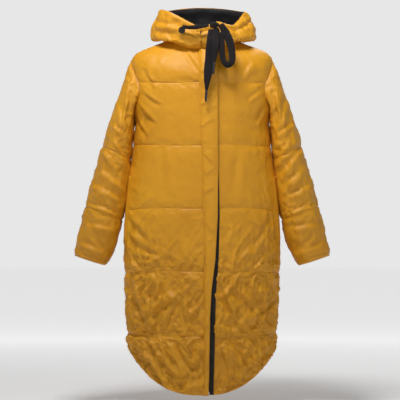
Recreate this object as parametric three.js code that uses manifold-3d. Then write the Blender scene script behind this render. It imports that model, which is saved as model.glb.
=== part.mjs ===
// A long hooded winter coat with a quilted filling, closed at the front by a zip under a storm flap.
// Millimetres, +Z up, -Y the front of the coat, +X the wearer's left. The origin is the middle of the neck opening,
// level with the seam where the hood joins the body: the place where shoulders or a hanger carry the coat.
import * as THREE from "three";
import { mergeVertices } from "three/addons/utils/BufferGeometryUtils.js";
import Module from "manifold-3d";

const wasm = await Module();
wasm.setup();

// ---- Driving dimensions ----

const GAP = 0.35; // between pieces that touch
const COAT_LENGTH = 1060; // neck seam to hem, at the centre front
const SIDE_HEM_RISE = 130; // how much higher the hem is at the side seams
const SHOULDER_HALF = 203; // centre to shoulder tip
const SHOULDER_DROP = 50;
const CHEST_EASE = 0; // how much further out the underarm is than the shoulder tip
const CHEST_HALF = SHOULDER_HALF + CHEST_EASE; // half widths of the body
const HIP_HALF = 235;
const HEM_HALF = 222;
const NECK_HALF = 72;
const ARMHOLE_DEPTH = 202; // shoulder tip to underarm
const ARMHOLE_FRONT = 66; // half width of the armhole towards the front and the back
const ARMHOLE_BACK = 60;
const FRONT_DEPTH = 115; // centre to the front at the top of the zip
const FRONT_SLOPE = 0.0664; // the front leans out by this much per unit of length, so that the zip is straight
const BACK_DEPTH = 103;

const SHELL = 0.8; // cloth and wadding thicknesses
const WADDING = 9;
const LINING = 0.8;

const NECK_FRONT = 66; // centre to the neck seam at the front and at the back
const NECK_BACK = 60;

const SLEEVE_LENGTH = 640; // shoulder tip to cuff
const SLEEVE_SPREAD = 181; // how far the cuff stands out past the shoulder tip
const CUFF_HALF = 51;
const CUFF_TURN = 4; // cloth turned in at the cuff, off the mouth's width
const CUFF_SPAN = 60; // the sleeve's last span, measured on its front
const CUFF_FACING = { length: 60, behind: 2.5, thickness: 1.1 }; // set behind the sleeve's lining
const UNDERARM_EASE = 6; // how much shorter the sleeve is on the inside

const SPLIT_X = 18; // the plane where the two fronts meet
const FACING_WIDTH = 60;
const FACING_BEHIND = 3; // the facings behind the lining of the fronts
const FACING_THICKNESS = 1.2;
const TAPE_WIDTH = 28;
const TEETH_WIDTH = 3; // each half of the chain
const TEETH_HEIGHT = 2.4;
const TAPE_THICKNESS = 0.7;
const SLIDER = { width: 11, length: 20, body: 2, bridge: 1.6, bridgeWidth: 3, sink: 0.4 };
const PULLER = { width: 7, length: 34, height: 1.2, bar: 2 };
const STOP_BOX = { width: 12, depth: 3, height: 9, below: 7, lift: 2.5 }; // below the chain, over the tapes

const WELT = { from: 72, to: 80, out: 2.6, inner: 1 }; // degrees round the side, heights over the cloth
const POCKET_BAG = { from: 40, to: 78, behind: 3.4, thickness: 2.6 };

const FLAP_LEFT = -8; // the stitched edge and the free edge of the storm flap
const FLAP_WIDTH = 53;
const FLAP_LIFT = 8.2; // the flap's inside face above the fronts, clear of the zip
const FLAP_WADDING = 3;

const HOOD_BULGE = 148; // half width of the hood's roll where it lies on the shoulders
const HOOD_RIM_HALF = 116;
const HOOD_BACK_RISE = 98; // neck seam to the rim at the back
const HOOD_SIDE_RISE = 80;
const HOOD_THROAT_RISE = 24;
const BAG_HALF = 112; // half width of the hood's bag behind the neck
const BAG_DEPTH = 213; // mouth to bottom
const BAG_THICKNESS = 84;

const CORD_D = 12;
const EYELET_OUT = 10.5;
const EYELET_HOLE = 6.4;
const EYELET_HEIGHT = 1.4;
const KNOT_D = 27;
const TIP = { d: 9, length: 33 };

const LOOP = { width: 9, thickness: 1.6, span: 62, drop: 15, behind: 5 };
const LABEL = { width: 52, height: 30, thickness: 0.8 };

// ---- Materials ----

const cloth = (color, roughness) =>
  new THREE.MeshStandardMaterial({ color, roughness, metalness: 0 });
const SHELL_CLOTH = cloth("#c48a2a", 0.62);
const FLAP_CLOTH = cloth("#c9902f", 0.62);
const LINING_CLOTH = cloth("#17150f", 0.7);
const FIBRE = cloth("#e9e6df", 0.95);
const TAPE_CLOTH = cloth("#191815", 0.85);
const CORD_CLOTH = cloth("#1d1b1b", 0.95);
const TIP_PLASTIC = cloth("#141414", 0.4);
const LABEL_CLOTH = cloth("#24221d", 0.8);
const BLACK_METAL = new THREE.MeshStandardMaterial({ color: "#161513", roughness: 0.45, metalness: 0.6 });
const NICKEL = new THREE.MeshStandardMaterial({ color: "#55524c", roughness: 0.35, metalness: 0.9 });

// ---- Putting meshes into the group ----

const coat = new THREE.Group();

function add(name, geometry, material) {
  const mesh = new THREE.Mesh(geometry, material);
  mesh.name = name;
  coat.add(mesh);
  return mesh;
}

function toManifold(geometry) {
  const bare = geometry.clone();
  bare.deleteAttribute("normal");
  bare.deleteAttribute("uv");
  const merged = mergeVertices(bare, 1e-4);
  const vertProperties = new Float32Array(merged.attributes.position.array);
  const triVerts = new Uint32Array(merged.index.array);
  return new wasm.Manifold(new wasm.Mesh({ numProp: 3, vertProperties, triVerts }));
}

function toGeometry(solid) {
  const mesh = solid.getMesh();
  const geometry = new THREE.BufferGeometry();
  geometry.setAttribute("position", new THREE.BufferAttribute(mesh.vertProperties, 3));
  geometry.setIndex(new THREE.BufferAttribute(mesh.triVerts, 1));
  return geometry;
}

// ---- Layers: a closed solid between two offsets of one surface ----

const STEP = 1e-3;

function normalOf(surface, u, v) {
  const du = surface(u + STEP, v).sub(surface(u - STEP, v));
  const dv = surface(u, v + STEP).sub(surface(u, v - STEP));
  return du.cross(dv).normalize();
}

// The solid between the offsets `out` and `inner` of surface(u, v), outwards being positive. us and vs are the
// grid lines. rim(u, v) may give the direction of the offset where a seam sets it. `closed` joins the last u to
// the first, and `pole` draws the last v together to one point.
function layer({ surface, us, vs, out, inner, facing = 1, rim = null, closed = false, pole = false }) {
  const points = [];
  const faces = [];
  const columns = us.length;
  const vertex = (side, i, j) => {
    if (pole && j === vs.length - 1) return side * (vs.length * columns) + j * columns;
    return side * (vs.length * columns) + j * columns + (i % columns);
  };
  for (const offset of [out, inner]) {
    for (const v of vs) {
      for (const u of us) {
        const at = surface(u, v);
        const direction = rim?.(u, v) ?? normalOf(surface, u, v).multiplyScalar(facing);
        points.push(...at.addScaledVector(direction, offset).toArray());
      }
    }
  }
  const quad = (a, b, c, d) => {
    if (a !== b && b !== c && a !== c) faces.push(a, b, c);
    if (a !== c && c !== d && a !== d) faces.push(a, c, d);
  };
  const cells = closed ? columns : columns - 1;
  for (let j = 0; j < vs.length - 1; j++) {
    for (let i = 0; i < cells; i++) {
      quad(vertex(0, i, j), vertex(0, i + 1, j), vertex(0, i + 1, j + 1), vertex(0, i, j + 1));
      quad(vertex(1, i, j), vertex(1, i, j + 1), vertex(1, i + 1, j + 1), vertex(1, i + 1, j));
    }
  }
  for (let i = 0; i < cells; i++) {
    const last = vs.length - 1;
    quad(vertex(1, i, 0), vertex(1, i + 1, 0), vertex(0, i + 1, 0), vertex(0, i, 0));
    if (!pole) quad(vertex(0, i, last), vertex(0, i + 1, last), vertex(1, i + 1, last), vertex(1, i, last));
  }
  for (let j = 0; j < vs.length - 1 && !closed; j++) {
    const end = columns - 1;
    quad(vertex(0, 0, j), vertex(0, 0, j + 1), vertex(1, 0, j + 1), vertex(1, 0, j));
    quad(vertex(1, end, j), vertex(1, end, j + 1), vertex(0, end, j + 1), vertex(0, end, j));
  }
  const geometry = new THREE.BufferGeometry();
  geometry.setAttribute("position", new THREE.BufferAttribute(new Float32Array(points), 3));
  geometry.setIndex(facing * Math.sign(out - inner) > 0 ? faces : faces.reverse());
  return geometry;
}

// The three layers of a padded panel, each a solid of its own.
const LAYERS = [
  ["shell", SHELL_CLOTH, 0, -SHELL],
  ["wadding", FIBRE, -SHELL - GAP, -SHELL - GAP - WADDING],
  ["lining", LINING_CLOTH, -SHELL - 2 * GAP - WADDING, -SHELL - 2 * GAP - WADDING - LINING],
];
const TOTAL = SHELL + 2 * GAP + WADDING + LINING;

function padded(name, panel) {
  for (const [part, material, out, inner] of LAYERS) {
    add(`${name}_${part}`, layer({ ...panel, out, inner }), material);
  }
}

const range = (from, to, steps) =>
  Array.from({ length: steps + 1 }, (_, i) => from + ((to - from) * i) / steps);

// A smooth value between the whole-numbered entries of a list.
function smooth(list, t) {
  const i = Math.min(Math.max(Math.floor(t), 0), list.length - 2);
  const at = (k) => list[Math.min(Math.max(k, 0), list.length - 1)];
  const f = t - i;
  const [a, b, c, d] = [at(i - 1), at(i), at(i + 1), at(i + 2)];
  return b + 0.5 * f * (c - a + f * (2 * a - 5 * b + 4 * c - d + f * (3 * (b - c) + d - a)));
}

// A point of a ring that goes round the coat. The angle is 0 at the centre front and a quarter turn at +X.
// A ring is {side: [x, z], front: [y, z], back: [y, z]}, and its height changes with the power `bend`.
function ringPoint(ring, angle, bend = 2.6) {
  const s = Math.sin(angle);
  const c = Math.cos(angle);
  const end = c > 0 ? ring.front : ring.back;
  const z = end[1] + (ring.side[1] - end[1]) * Math.abs(s) ** bend;
  return new THREE.Vector3(ring.side[0] * s, -end[0] * c, z);
}

function ringAt(rings, t) {
  const pick = (key, k) => smooth(rings.map((r) => r[key][k]), t);
  return {
    side: [pick("side", 0), pick("side", 1)],
    front: [pick("front", 0), pick("front", 1)],
    back: [pick("back", 0), pick("back", 1)],
  };
}

// ---- The body ----

// Rows of the body from the neck seam down: the neck, mid shoulder, shoulder tip, three down the armhole, the
// underarm, and seven to the hem. Depths count forward for the front and back for the back, both positive.
const TIP_ROW = 2;
const PIT_ROW = 6;
const ZIP_END_ROW = 10;
const HEM_ROW = 13;
const FLAP_SPLIT_ROW = 5;
const ZIP_TOP_Z = -106;
const frontDepth = (z) => FRONT_DEPTH + FRONT_SLOPE * (ZIP_TOP_Z - z);
const PIT_Z = -SHOULDER_DROP - ARMHOLE_DEPTH;
const HEM_Z = -COAT_LENGTH;
// How far down each row is at the front, as a share of the way from the top of the zip to the hem.
const down = (share) => ZIP_TOP_Z + (HEM_Z - ZIP_TOP_Z) * share;
const mix = (a, b, f) => a + (b - a) * f;

function lowerRow(share, half, depthChange = 0) {
  const front = down(share);
  // The side of each row drifts up towards the height of the hem at the side seam.
  const side = mix(PIT_Z, HEM_Z + SIDE_HEM_RISE, (front - down(0.17)) / (HEM_Z - down(0.17)));
  const depth = frontDepth(Math.max(front, down(0.6)));
  return {
    side: [half, side],
    front: [depth + depthChange, front],
    back: [depth - 11 + depthChange, front + 8],
  };
}

const BODY_ROWS = [
  { side: [NECK_HALF, 4], front: [NECK_FRONT, -26], back: [NECK_BACK, 10] },
  { side: [mix(NECK_HALF, SHOULDER_HALF, 0.5), 4 - SHOULDER_DROP * 0.48], front: [97, -64], back: [86, -36] },
  { side: [SHOULDER_HALF, -SHOULDER_DROP], front: [FRONT_DEPTH, ZIP_TOP_Z], back: [BACK_DEPTH, -92] },
  ...[[0.25, 0.042, 14, 109], [0.5, 0.084, 19, 113], [0.75, 0.126, 13, 117]].map(([t, share, out, back]) => ({
    side: [mix(SHOULDER_HALF, CHEST_HALF, t) + out, -SHOULDER_DROP - ARMHOLE_DEPTH * t],
    front: [frontDepth(down(share)), down(share)],
    back: [back, down(share) + 6],
  })),
  { side: [CHEST_HALF, PIT_Z], front: [frontDepth(down(0.17)), down(0.17)], back: [120, down(0.17) + 4] },
  lowerRow(0.264, mix(CHEST_HALF, HIP_HALF, 0.22)),
  lowerRow(0.367, mix(CHEST_HALF, HIP_HALF, 0.53)),
  lowerRow(0.476, mix(CHEST_HALF, HIP_HALF, 0.82)),
  lowerRow(0.597, HIP_HALF),
  lowerRow(0.723, mix(HIP_HALF, HEM_HALF, 0.1), 1),
  lowerRow(0.855, mix(HIP_HALF, HEM_HALF, 0.45), 0),
  lowerRow(1, HEM_HALF, -3),
];

const bodyPoint = (angle, row) => ringPoint(ringAt(BODY_ROWS, row), angle);

// The angle at which a row meets the armhole, or the side seam where there is no armhole.
function edgeAngle(row, halfWidth, key) {
  if (row <= TIP_ROW || row >= PIT_ROW) return Math.PI / 2;
  const share = (row - TIP_ROW) / (PIT_ROW - TIP_ROW);
  return Math.acos((halfWidth * Math.sin(Math.PI * share)) / ringAt(BODY_ROWS, row)[key][0]);
}

const frontEdge = (row) => edgeAngle(row, ARMHOLE_FRONT, "front");
const backEdge = (row) => edgeAngle(row, ARMHOLE_BACK, "back");
const splitAngle = (row, x) => Math.asin(x / ringAt(BODY_ROWS, row).side[0]);

const ARMHOLE_MIDDLE = new THREE.Vector3(0, 0, -SHOULDER_DROP - ARMHOLE_DEPTH / 2);

// At the armhole every layer turns towards the middle of the hole, so that body and sleeve meet edge to edge.
function armholeRim(point) {
  return new THREE.Vector3(0, point.y, point.z - ARMHOLE_MIDDLE.z).normalize();
}

const bodyRows = range(0, HEM_ROW, HEM_ROW);
const nearArmhole = (row) => row >= TIP_ROW && row <= PIT_ROW;

// A panel between two angles of each row, moved by `shift` to leave the gap of its seams.
function bodyPanel(from, to, columns, shift, armholeAt) {
  const surface = (u, row) => bodyPoint(mix(from(row), to(row), u), row).add(shift);
  const rim = (u, row) => (armholeAt(u) && nearArmhole(row) ? armholeRim(surface(u, row)) : null);
  return { surface, us: range(0, 1, columns), vs: bodyRows, rim, facing: -1 };
}

const seam = GAP / 2;
const FRONT_LEFT = bodyPanel(
  (row) => splitAngle(row, SPLIT_X), frontEdge, 5, new THREE.Vector3(seam, -seam, 0), (u) => u === 1);
const FRONT_RIGHT = bodyPanel(
  (row) => -frontEdge(row), (row) => splitAngle(row, SPLIT_X), 6, new THREE.Vector3(-seam, -seam, 0), (u) => u === 0);
const BACK = bodyPanel(
  (row) => Math.PI - backEdge(row), (row) => Math.PI + backEdge(row), 10, new THREE.Vector3(0, seam, 0),
  (u) => u === 0 || u === 1);

padded("front_left", FRONT_LEFT);
padded("front_right", FRONT_RIGHT);
padded("back", BACK);

// A strip on the fronts between two distances from the middle plane.
function frontStrip(xFrom, xTo, columns, rows, out, inner) {
  const surface = (u, row) => bodyPoint(splitAngle(row, mix(xFrom, xTo, u)), row);
  return layer({ surface, us: range(0, 1, columns), vs: rows, out, inner, facing: -1 });
}

const rowsBetween = (from, to) => range(from, to, Math.round(to - from));

// Facings turn the front edges inwards and carry the zip.
const facingOut = -TOTAL - FACING_BEHIND;
const facingRows = rowsBetween(1, HEM_ROW);
add("facing_left", frontStrip(SPLIT_X + seam, SPLIT_X + FACING_WIDTH, 2, facingRows, facingOut, facingOut - FACING_THICKNESS),
  LINING_CLOTH);
add("facing_right", frontStrip(SPLIT_X - FACING_WIDTH, SPLIT_X - seam, 2, facingRows, facingOut, facingOut - FACING_THICKNESS),
  LINING_CLOTH);

// ---- The zip ----

const zipRows = rowsBetween(TIP_ROW, ZIP_END_ROW);
const TAPE_LIFT = 0.5;
const teethEdge = TEETH_WIDTH + GAP;
const tapes = {
  left: [SPLIT_X + teethEdge + GAP, SPLIT_X + teethEdge + GAP + TAPE_WIDTH],
  right: [SPLIT_X - teethEdge - GAP - TAPE_WIDTH / 2, SPLIT_X - teethEdge - GAP],
};
for (const [side, [from, to]] of Object.entries(tapes)) {
  add(`zip_tape_${side}`, frontStrip(from, to, 1, zipRows, TAPE_LIFT + TAPE_THICKNESS, TAPE_LIFT), TAPE_CLOTH);
}
const teeth = { left: [SPLIT_X + GAP, SPLIT_X + teethEdge], right: [SPLIT_X - teethEdge, SPLIT_X - GAP] };
for (const [side, [from, to]] of Object.entries(teeth)) {
  add(`zip_teeth_${side}`, frontStrip(from, to, 1, zipRows, TAPE_LIFT + TEETH_HEIGHT, TAPE_LIFT), BLACK_METAL);
}

// The zip's own direction, and a place on it at a depth in front of the fronts.
const zipTop = bodyPoint(splitAngle(TIP_ROW, SPLIT_X), TIP_ROW);
const zipEnd = bodyPoint(splitAngle(ZIP_END_ROW, SPLIT_X), ZIP_END_ROW);
const zipLine = zipEnd.clone().sub(zipTop).normalize();
const zipTurn = Math.atan2(zipLine.y, zipLine.z) - Math.PI;

function onZip(mesh, along, lift) {
  mesh.rotation.x = -zipTurn;
  const ahead = new THREE.Vector3(0, -zipLine.z, zipLine.y).multiplyScalar(-1);
  mesh.position.copy(zipTop).addScaledVector(zipLine, along).addScaledVector(ahead, lift);
}

const SLIDER_START = 12; // below the top of the chain
const sliderLift = TAPE_LIFT + TEETH_HEIGHT + GAP;
const bridgeLength = SLIDER.length * 0.6;
const sliderBody = new THREE.BoxGeometry(SLIDER.width, SLIDER.body, SLIDER.length);
sliderBody.translate(0, -SLIDER.body / 2, 0);
const bridge = new THREE.BoxGeometry(SLIDER.bridgeWidth, SLIDER.bridge + SLIDER.sink, bridgeLength);
bridge.translate(0, -SLIDER.body - SLIDER.bridge / 2 + SLIDER.sink / 2, 0);
const slider = add("zip_slider", toGeometry(toManifold(sliderBody).add(toManifold(bridge))), NICKEL);
onZip(slider, SLIDER_START, sliderLift);

// The puller lies flat on the slider, round its bridge: a tab with a slot at its top.
function pullerShape() {
  const shape = new THREE.Shape();
  const half = PULLER.width / 2;
  shape.moveTo(-half, bridgeLength / 2 + GAP + PULLER.bar);
  shape.lineTo(-half, half - PULLER.length);
  shape.absarc(0, half - PULLER.length, half, Math.PI, 2 * Math.PI, false);
  shape.lineTo(half, bridgeLength / 2 + GAP + PULLER.bar);
  shape.closePath();
  const slot = new THREE.Path();
  const reach = SLIDER.bridgeWidth / 2 + GAP;
  slot.moveTo(-reach, -bridgeLength / 2 - GAP);
  slot.lineTo(reach, -bridgeLength / 2 - GAP);
  slot.lineTo(reach, bridgeLength / 2 + GAP);
  slot.lineTo(-reach, bridgeLength / 2 + GAP);
  slot.closePath();
  shape.holes.push(slot);
  return new THREE.ExtrudeGeometry(shape, { depth: PULLER.height, bevelEnabled: false, curveSegments: 6 })
    .rotateX(Math.PI / 2);
}
onZip(add("zip_puller", pullerShape(), NICKEL), SLIDER_START, sliderLift + SLIDER.body + GAP);

const stopBox = new THREE.BoxGeometry(STOP_BOX.width, STOP_BOX.depth, STOP_BOX.height);
onZip(add("zip_bottom_box", stopBox, BLACK_METAL), zipTop.distanceTo(zipEnd) + STOP_BOX.below, TAPE_LIFT + STOP_BOX.lift);

// ---- The storm flap over the zip ----

// Its top is held under the hood's throat. Below the split it swings about its stitched edge.
const flapLayers = [
  ["shell", FLAP_CLOTH, FLAP_LIFT + 2 * (SHELL + GAP) + FLAP_WADDING, -SHELL],
  ["wadding", FIBRE, FLAP_LIFT + SHELL + GAP + FLAP_WADDING, -FLAP_WADDING],
  ["lining", LINING_CLOTH, FLAP_LIFT + SHELL, -SHELL],
];
const flapParts = {
  storm_flap_top: rowsBetween(1, FLAP_SPLIT_ROW),
  storm_flap: [FLAP_SPLIT_ROW + 0.03, ...rowsBetween(FLAP_SPLIT_ROW + 1, HEM_ROW)],
};
for (const [name, rows] of Object.entries(flapParts)) {
  for (const [part, material, out, thickness] of flapLayers) {
    const strip = frontStrip(FLAP_LEFT, FLAP_LEFT + FLAP_WIDTH, 3, rows, out, out + thickness);
    add(`${name}_${part}`, strip, material);
  }
}

// ---- Pockets in the sides of the fronts, under the sleeves ----

const pocketRows = [8, 9, 10];
const pocketDepthRows = [8, 9, 10, 11];
const bagOut = -TOTAL - POCKET_BAG.behind;
for (const [side, sign, panel] of [["left", 1, FRONT_LEFT], ["right", -1, FRONT_RIGHT]]) {
  const angleOf = (degrees) => sign * THREE.MathUtils.degToRad(degrees);
  const patch = (from, to, rows, out, inner) => layer({
    surface: (u, row) => bodyPoint(mix(angleOf(from), angleOf(to), u), row),
    us: [0, 0.5, 1], vs: rows, out, inner, facing: -sign,
  });
  add(`pocket_welt_${side}`, patch(WELT.from, WELT.to, pocketRows, WELT.out, WELT.inner), SHELL_CLOTH);
  add(`pocket_bag_${side}`, patch(
    POCKET_BAG.from, POCKET_BAG.to, pocketDepthRows, bagOut, bagOut - POCKET_BAG.thickness), LINING_CLOTH);
}

// ---- Sleeves ----

// The outer edge curves out from the shoulder tip and ends a little higher than the inner edge, as a cuff hangs.
const CUFF_SLANT = 38;
const SLEEVE_BOW = 0.28; // how much of the spread is used up early, which bows the outer edge
const outerEdge = (share) => [
  SHOULDER_HALF + SLEEVE_SPREAD * ((1 + SLEEVE_BOW) * share - SLEEVE_BOW * share * share),
  -SHOULDER_DROP - (SLEEVE_LENGTH - CUFF_SLANT) * share,
];
// The half width of the body at a height below the underarm.
function bodyHalfAt(z) {
  let [above, below] = [PIT_ROW, HEM_ROW];
  for (let halving = 0; halving < 30; halving++) {
    const row = (above + below) / 2;
    if (bodyPoint(Math.PI / 2, row).z > z) above = row;
    else below = row;
  }
  return bodyPoint(Math.PI / 2, above).x;
}

// The stations along the sleeve: the outer edge's share of its length, the inner edge's place out from the body's
// side and its share of the way from the underarm to the cuff, and the half depth.
const INNER_DROP = SLEEVE_LENGTH - ARMHOLE_DEPTH - UNDERARM_EASE;
const CUFF_OUT = SHOULDER_HALF + SLEEVE_SPREAD;
const CUFF_MOUTH = 2 * CUFF_HALF - CUFF_TURN;
const SLEEVE_STATIONS = [
  [0, 0, 0, 63],
  [0.13, 5.2, 0.0556, 72],
  [0.28, 3.8, 0.1806, 76],
  [0.44, 0.4, 0.3056, 75],
  [0.6, -0.6, 0.4769, 70],
  [0.73, 1.7, 0.6389, 66],
  [0.85, 13.1, 0.7963, 61],
  [0.94, 28.9, 0.9028, 55],
  [1, CUFF_OUT - CUFF_MOUTH, 1, 49],
].map(([share, out, drop, depth]) => {
  const z = PIT_Z - INNER_DROP * drop;
  const besideBody = share < 1 ? bodyHalfAt(z) : 0;
  return { outer: outerEdge(share), inner: [besideBody + out, z], depth };
});

// The armhole as a loop of straight lines between the corners of the body's rows: 0 at the shoulder tip, a
// quarter at the front, a half at the underarm.
const ARMHOLE_CORNERS = 2 * (PIT_ROW - TIP_ROW);
const armholeCorners = Array.from({ length: ARMHOLE_CORNERS + 1 }, (_, k) => {
  const atFront = k <= ARMHOLE_CORNERS / 2;
  const row = TIP_ROW + (atFront ? k : ARMHOLE_CORNERS - k);
  return bodyPoint(atFront ? frontEdge(row) : Math.PI - backEdge(row), row);
});

function armholeLoop(turn) {
  const along = (((turn % 1) + 1) % 1) * ARMHOLE_CORNERS;
  const corner = Math.floor(along);
  return armholeCorners[corner].clone().lerp(armholeCorners[corner + 1], along - corner);
}

function sleeveEllipse(turn, station) {
  const pick = (f) => smooth(SLEEVE_STATIONS.map(f), station);
  const outer = new THREE.Vector3(pick((s) => s.outer[0]), 0, pick((s) => s.outer[1]));
  const inner = new THREE.Vector3(pick((s) => s.inner[0]), 0, pick((s) => s.inner[1]));
  const middle = outer.clone().add(inner).multiplyScalar(0.5);
  const angle = turn * 2 * Math.PI;
  return middle
    .addScaledVector(outer.sub(inner), Math.cos(angle) / 2)
    .add(new THREE.Vector3(0, -pick((s) => s.depth) * Math.sin(angle), 0));
}

const SLEEVE_GAP = 1.1; // between the sleeve's head and the armhole
function sleevePoint(turn, station) {
  const share = Math.max(0, 1 - station) ** 1.5;
  const toLoop = armholeLoop(turn).sub(sleeveEllipse(turn, 0)).multiplyScalar(share);
  return sleeveEllipse(turn, station).add(toLoop).add(new THREE.Vector3(SLEEVE_GAP, 0, 0));
}

const SLEEVE_TURNS = 16;
const LAST_STATION = SLEEVE_STATIONS.length - 1;
for (const [side, sign] of [["left", 1], ["right", -1]]) {
  const surface = (turn, station) => {
    const point = sleevePoint(turn, station);
    point.x *= sign;
    return point;
  };
  const rim = (turn, station) => (station === 0 ? armholeRim(surface(turn, 0)) : null);
  const panel = {
    surface, rim, us: range(0, 1, SLEEVE_TURNS).slice(0, -1), vs: range(0, LAST_STATION, LAST_STATION),
    closed: true, facing: sign,
  };
  padded(`sleeve_${side}`, panel);
  const facingPanel = { ...panel, vs: [LAST_STATION - CUFF_FACING.length / CUFF_SPAN, LAST_STATION],
    out: -TOTAL - CUFF_FACING.behind, inner: -TOTAL - CUFF_FACING.behind - CUFF_FACING.thickness };
  add(`cuff_facing_${side}`, layer(facingPanel), LINING_CLOTH);
}

// ---- The hood, lying open round the neck ----

// Its roll: from the neck seam out over the shoulders and up to the rim that the cord runs in.
const throatY = 98;
const ROLL_SEAM = { side: [NECK_HALF + 1, 6], front: [80, -20], back: [61.5, 12] };
const ROLL_BULGE = { side: [HOOD_BULGE, 24], front: [throatY + 3, 2], back: [86, 52] };
const ROLL_RIM = {
  side: [HOOD_RIM_HALF, HOOD_SIDE_RISE], front: [throatY, HOOD_THROAT_RISE], back: [74, HOOD_BACK_RISE],
};

// The curve that leaves the seam, passes through the bulge half way, and ends at the rim.
function rollPoint(angle, v) {
  const at = (key, k) => {
    const [a, b, c] = [ROLL_SEAM[key][k], ROLL_BULGE[key][k], ROLL_RIM[key][k]];
    const control = 2 * b - (a + c) / 2;
    return a * (1 - v) ** 2 + 2 * control * v * (1 - v) + c * v * v;
  };
  const ring = { side: [at("side", 0), at("side", 1)], front: [at("front", 0), at("front", 1)],
    back: [at("back", 0), at("back", 1)] };
  return ringPoint(ring, angle, 2);
}

const THROAT_ANGLE = THREE.MathUtils.degToRad(5);
padded("hood_roll", {
  surface: (u, v) => rollPoint(mix(THROAT_ANGLE, 2 * Math.PI - THROAT_ANGLE, u), v),
  us: range(0, 1, 22), vs: range(0, 1, 5), facing: 1,
});

// Its bag, hanging open behind the neck. It turns up about the edge of its mouth nearest the neck.
const BAG_MOUTH = { y: 138, z: 46 };
const BAG_ROWS = [
  [1, 1, 0, 0],
  [1.05, 1.08, 5, 0.24],
  [0.97, 1.02, 8, 0.52],
  [0.7, 0.78, 11, 0.8],
  [0.3, 0.36, 12, 0.96],
  [0, 0, 12, 1],
];
function bagPoint(turn, row) {
  const pick = (k) => smooth(BAG_ROWS.map((r) => r[k]), row);
  const angle = turn * 2 * Math.PI;
  return new THREE.Vector3(
    BAG_HALF * pick(0) * Math.sin(angle),
    BAG_MOUTH.y + pick(2) - (BAG_THICKNESS / 2) * pick(1) * Math.cos(angle),
    BAG_MOUTH.z - BAG_DEPTH * pick(3),
  );
}
const bagBottomRim = (turn, row) => (row === BAG_ROWS.length - 1 ? new THREE.Vector3(0, 0, -1) : null);
padded("hood_bag", {
  surface: bagPoint, us: range(0, 1, 18).slice(0, -1), vs: range(0, BAG_ROWS.length - 1, BAG_ROWS.length - 1),
  rim: bagBottomRim, closed: true, pole: true, facing: -1,
});

// ---- Eyelets, drawcord, knot and cord tips at the throat ----

// A point on the front of the roll at a distance from the middle plane, moved out along the roll's face.
function onRoll(x, v, lift) {
  const side = Math.sign(x);
  let angle = Math.asin(Math.min(1, Math.abs(x) / 90)) * side;
  for (let k = 0; k < 20; k++) angle -= (rollPoint(angle, v).x - x) / 110;
  const point = rollPoint(angle, v);
  const normal = normalOf(rollPoint, angle, v);
  if (normal.y > 0) normal.negate();
  return { point: point.clone().addScaledVector(normal, lift), normal };
}

const EYELET_X = { left: 40, right: -57 };
const EYELET_V = 0.72;
const EYELET_LIFT = 2.2;
const ringShape = new THREE.Shape().absarc(0, 0, EYELET_OUT, 0, 2 * Math.PI, false);
ringShape.holes.push(new THREE.Path().absarc(0, 0, EYELET_HOLE, 0, 2 * Math.PI, true));
for (const [side, x] of Object.entries(EYELET_X)) {
  const ring = new THREE.ExtrudeGeometry(ringShape, { depth: EYELET_HEIGHT, bevelEnabled: false, curveSegments: 14 });
  const eyelet = add(`eyelet_${side}`, ring, BLACK_METAL);
  const { point, normal } = onRoll(x, EYELET_V, EYELET_LIFT);
  eyelet.position.copy(point);
  eyelet.quaternion.setFromUnitVectors(new THREE.Vector3(0, 0, 1), normal);
}

const section = new THREE.Shape().absarc(0, 0, CORD_D / 2, 0, 2 * Math.PI, false);
function cord(name, points) {
  const curve = new THREE.CatmullRomCurve3(points.map((p) => new THREE.Vector3(...p)));
  const steps = Math.round(curve.getLength() / (2.4 * CORD_D));
  const tube = new THREE.ExtrudeGeometry(section, { steps, extrudePath: curve, curveSegments: 5 });
  add(name, tube, CORD_CLOTH);
}

// The knot sits over the left eyelet and hides it; the cord crosses the throat to it from the right eyelet. The
// knot is half a bow: two free ends and one loop hang from it.
const knotAt = new THREE.Vector3(36, -124, 33);
add("cord_knot", new THREE.SphereGeometry(KNOT_D / 2, 14, 8).scale(1, 0.72, 1), CORD_CLOTH)
  .position.copy(knotAt);
const CORD_ROUTES = {
  cord_bridge: [[-57, -107, 26], [-40, -117, 23], [-12, -119, 24], [8, -121, 27], [20, -122, 30]],
  cord_long_end: [[29, -127, 16], [27, -137, -18], [24, -144, -60], [21, -148, -86], [16, -150, -125],
    [13, -151, -163]],
  cord_short_end: [[42, -128, 17], [42, -141, -15], [39, -151, -50], [35, -156, -82]],
  cord_loop: [[55, -121, 32], [70, -126, 6], [82, -131, -22], [88, -137, -52], [88, -142, -76], [77, -146, -90],
    [65, -147, -80], [59, -143, -58], [57, -136, -28], [54, -129, 8]],
};
for (const [name, route] of Object.entries(CORD_ROUTES)) cord(name, route);

function tip(name, from, direction) {
  const barrel = new THREE.CylinderGeometry(TIP.d / 2, TIP.d / 2 - 0.8, TIP.length, 12);
  const along = new THREE.Vector3(...direction).normalize();
  const mesh = add(name, barrel, TIP_PLASTIC);
  mesh.quaternion.setFromUnitVectors(new THREE.Vector3(0, -1, 0), along);
  mesh.position.set(...from).addScaledVector(along, TIP.length / 2 + 1);
}
tip("cord_tip_long", CORD_ROUTES.cord_long_end.at(-1), [-2, -1, -24]);
tip("cord_tip_short", CORD_ROUTES.cord_short_end.at(-1), [-2, -1, -24]);

// ---- Hanger loop and blank label inside the back of the neck ----

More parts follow.
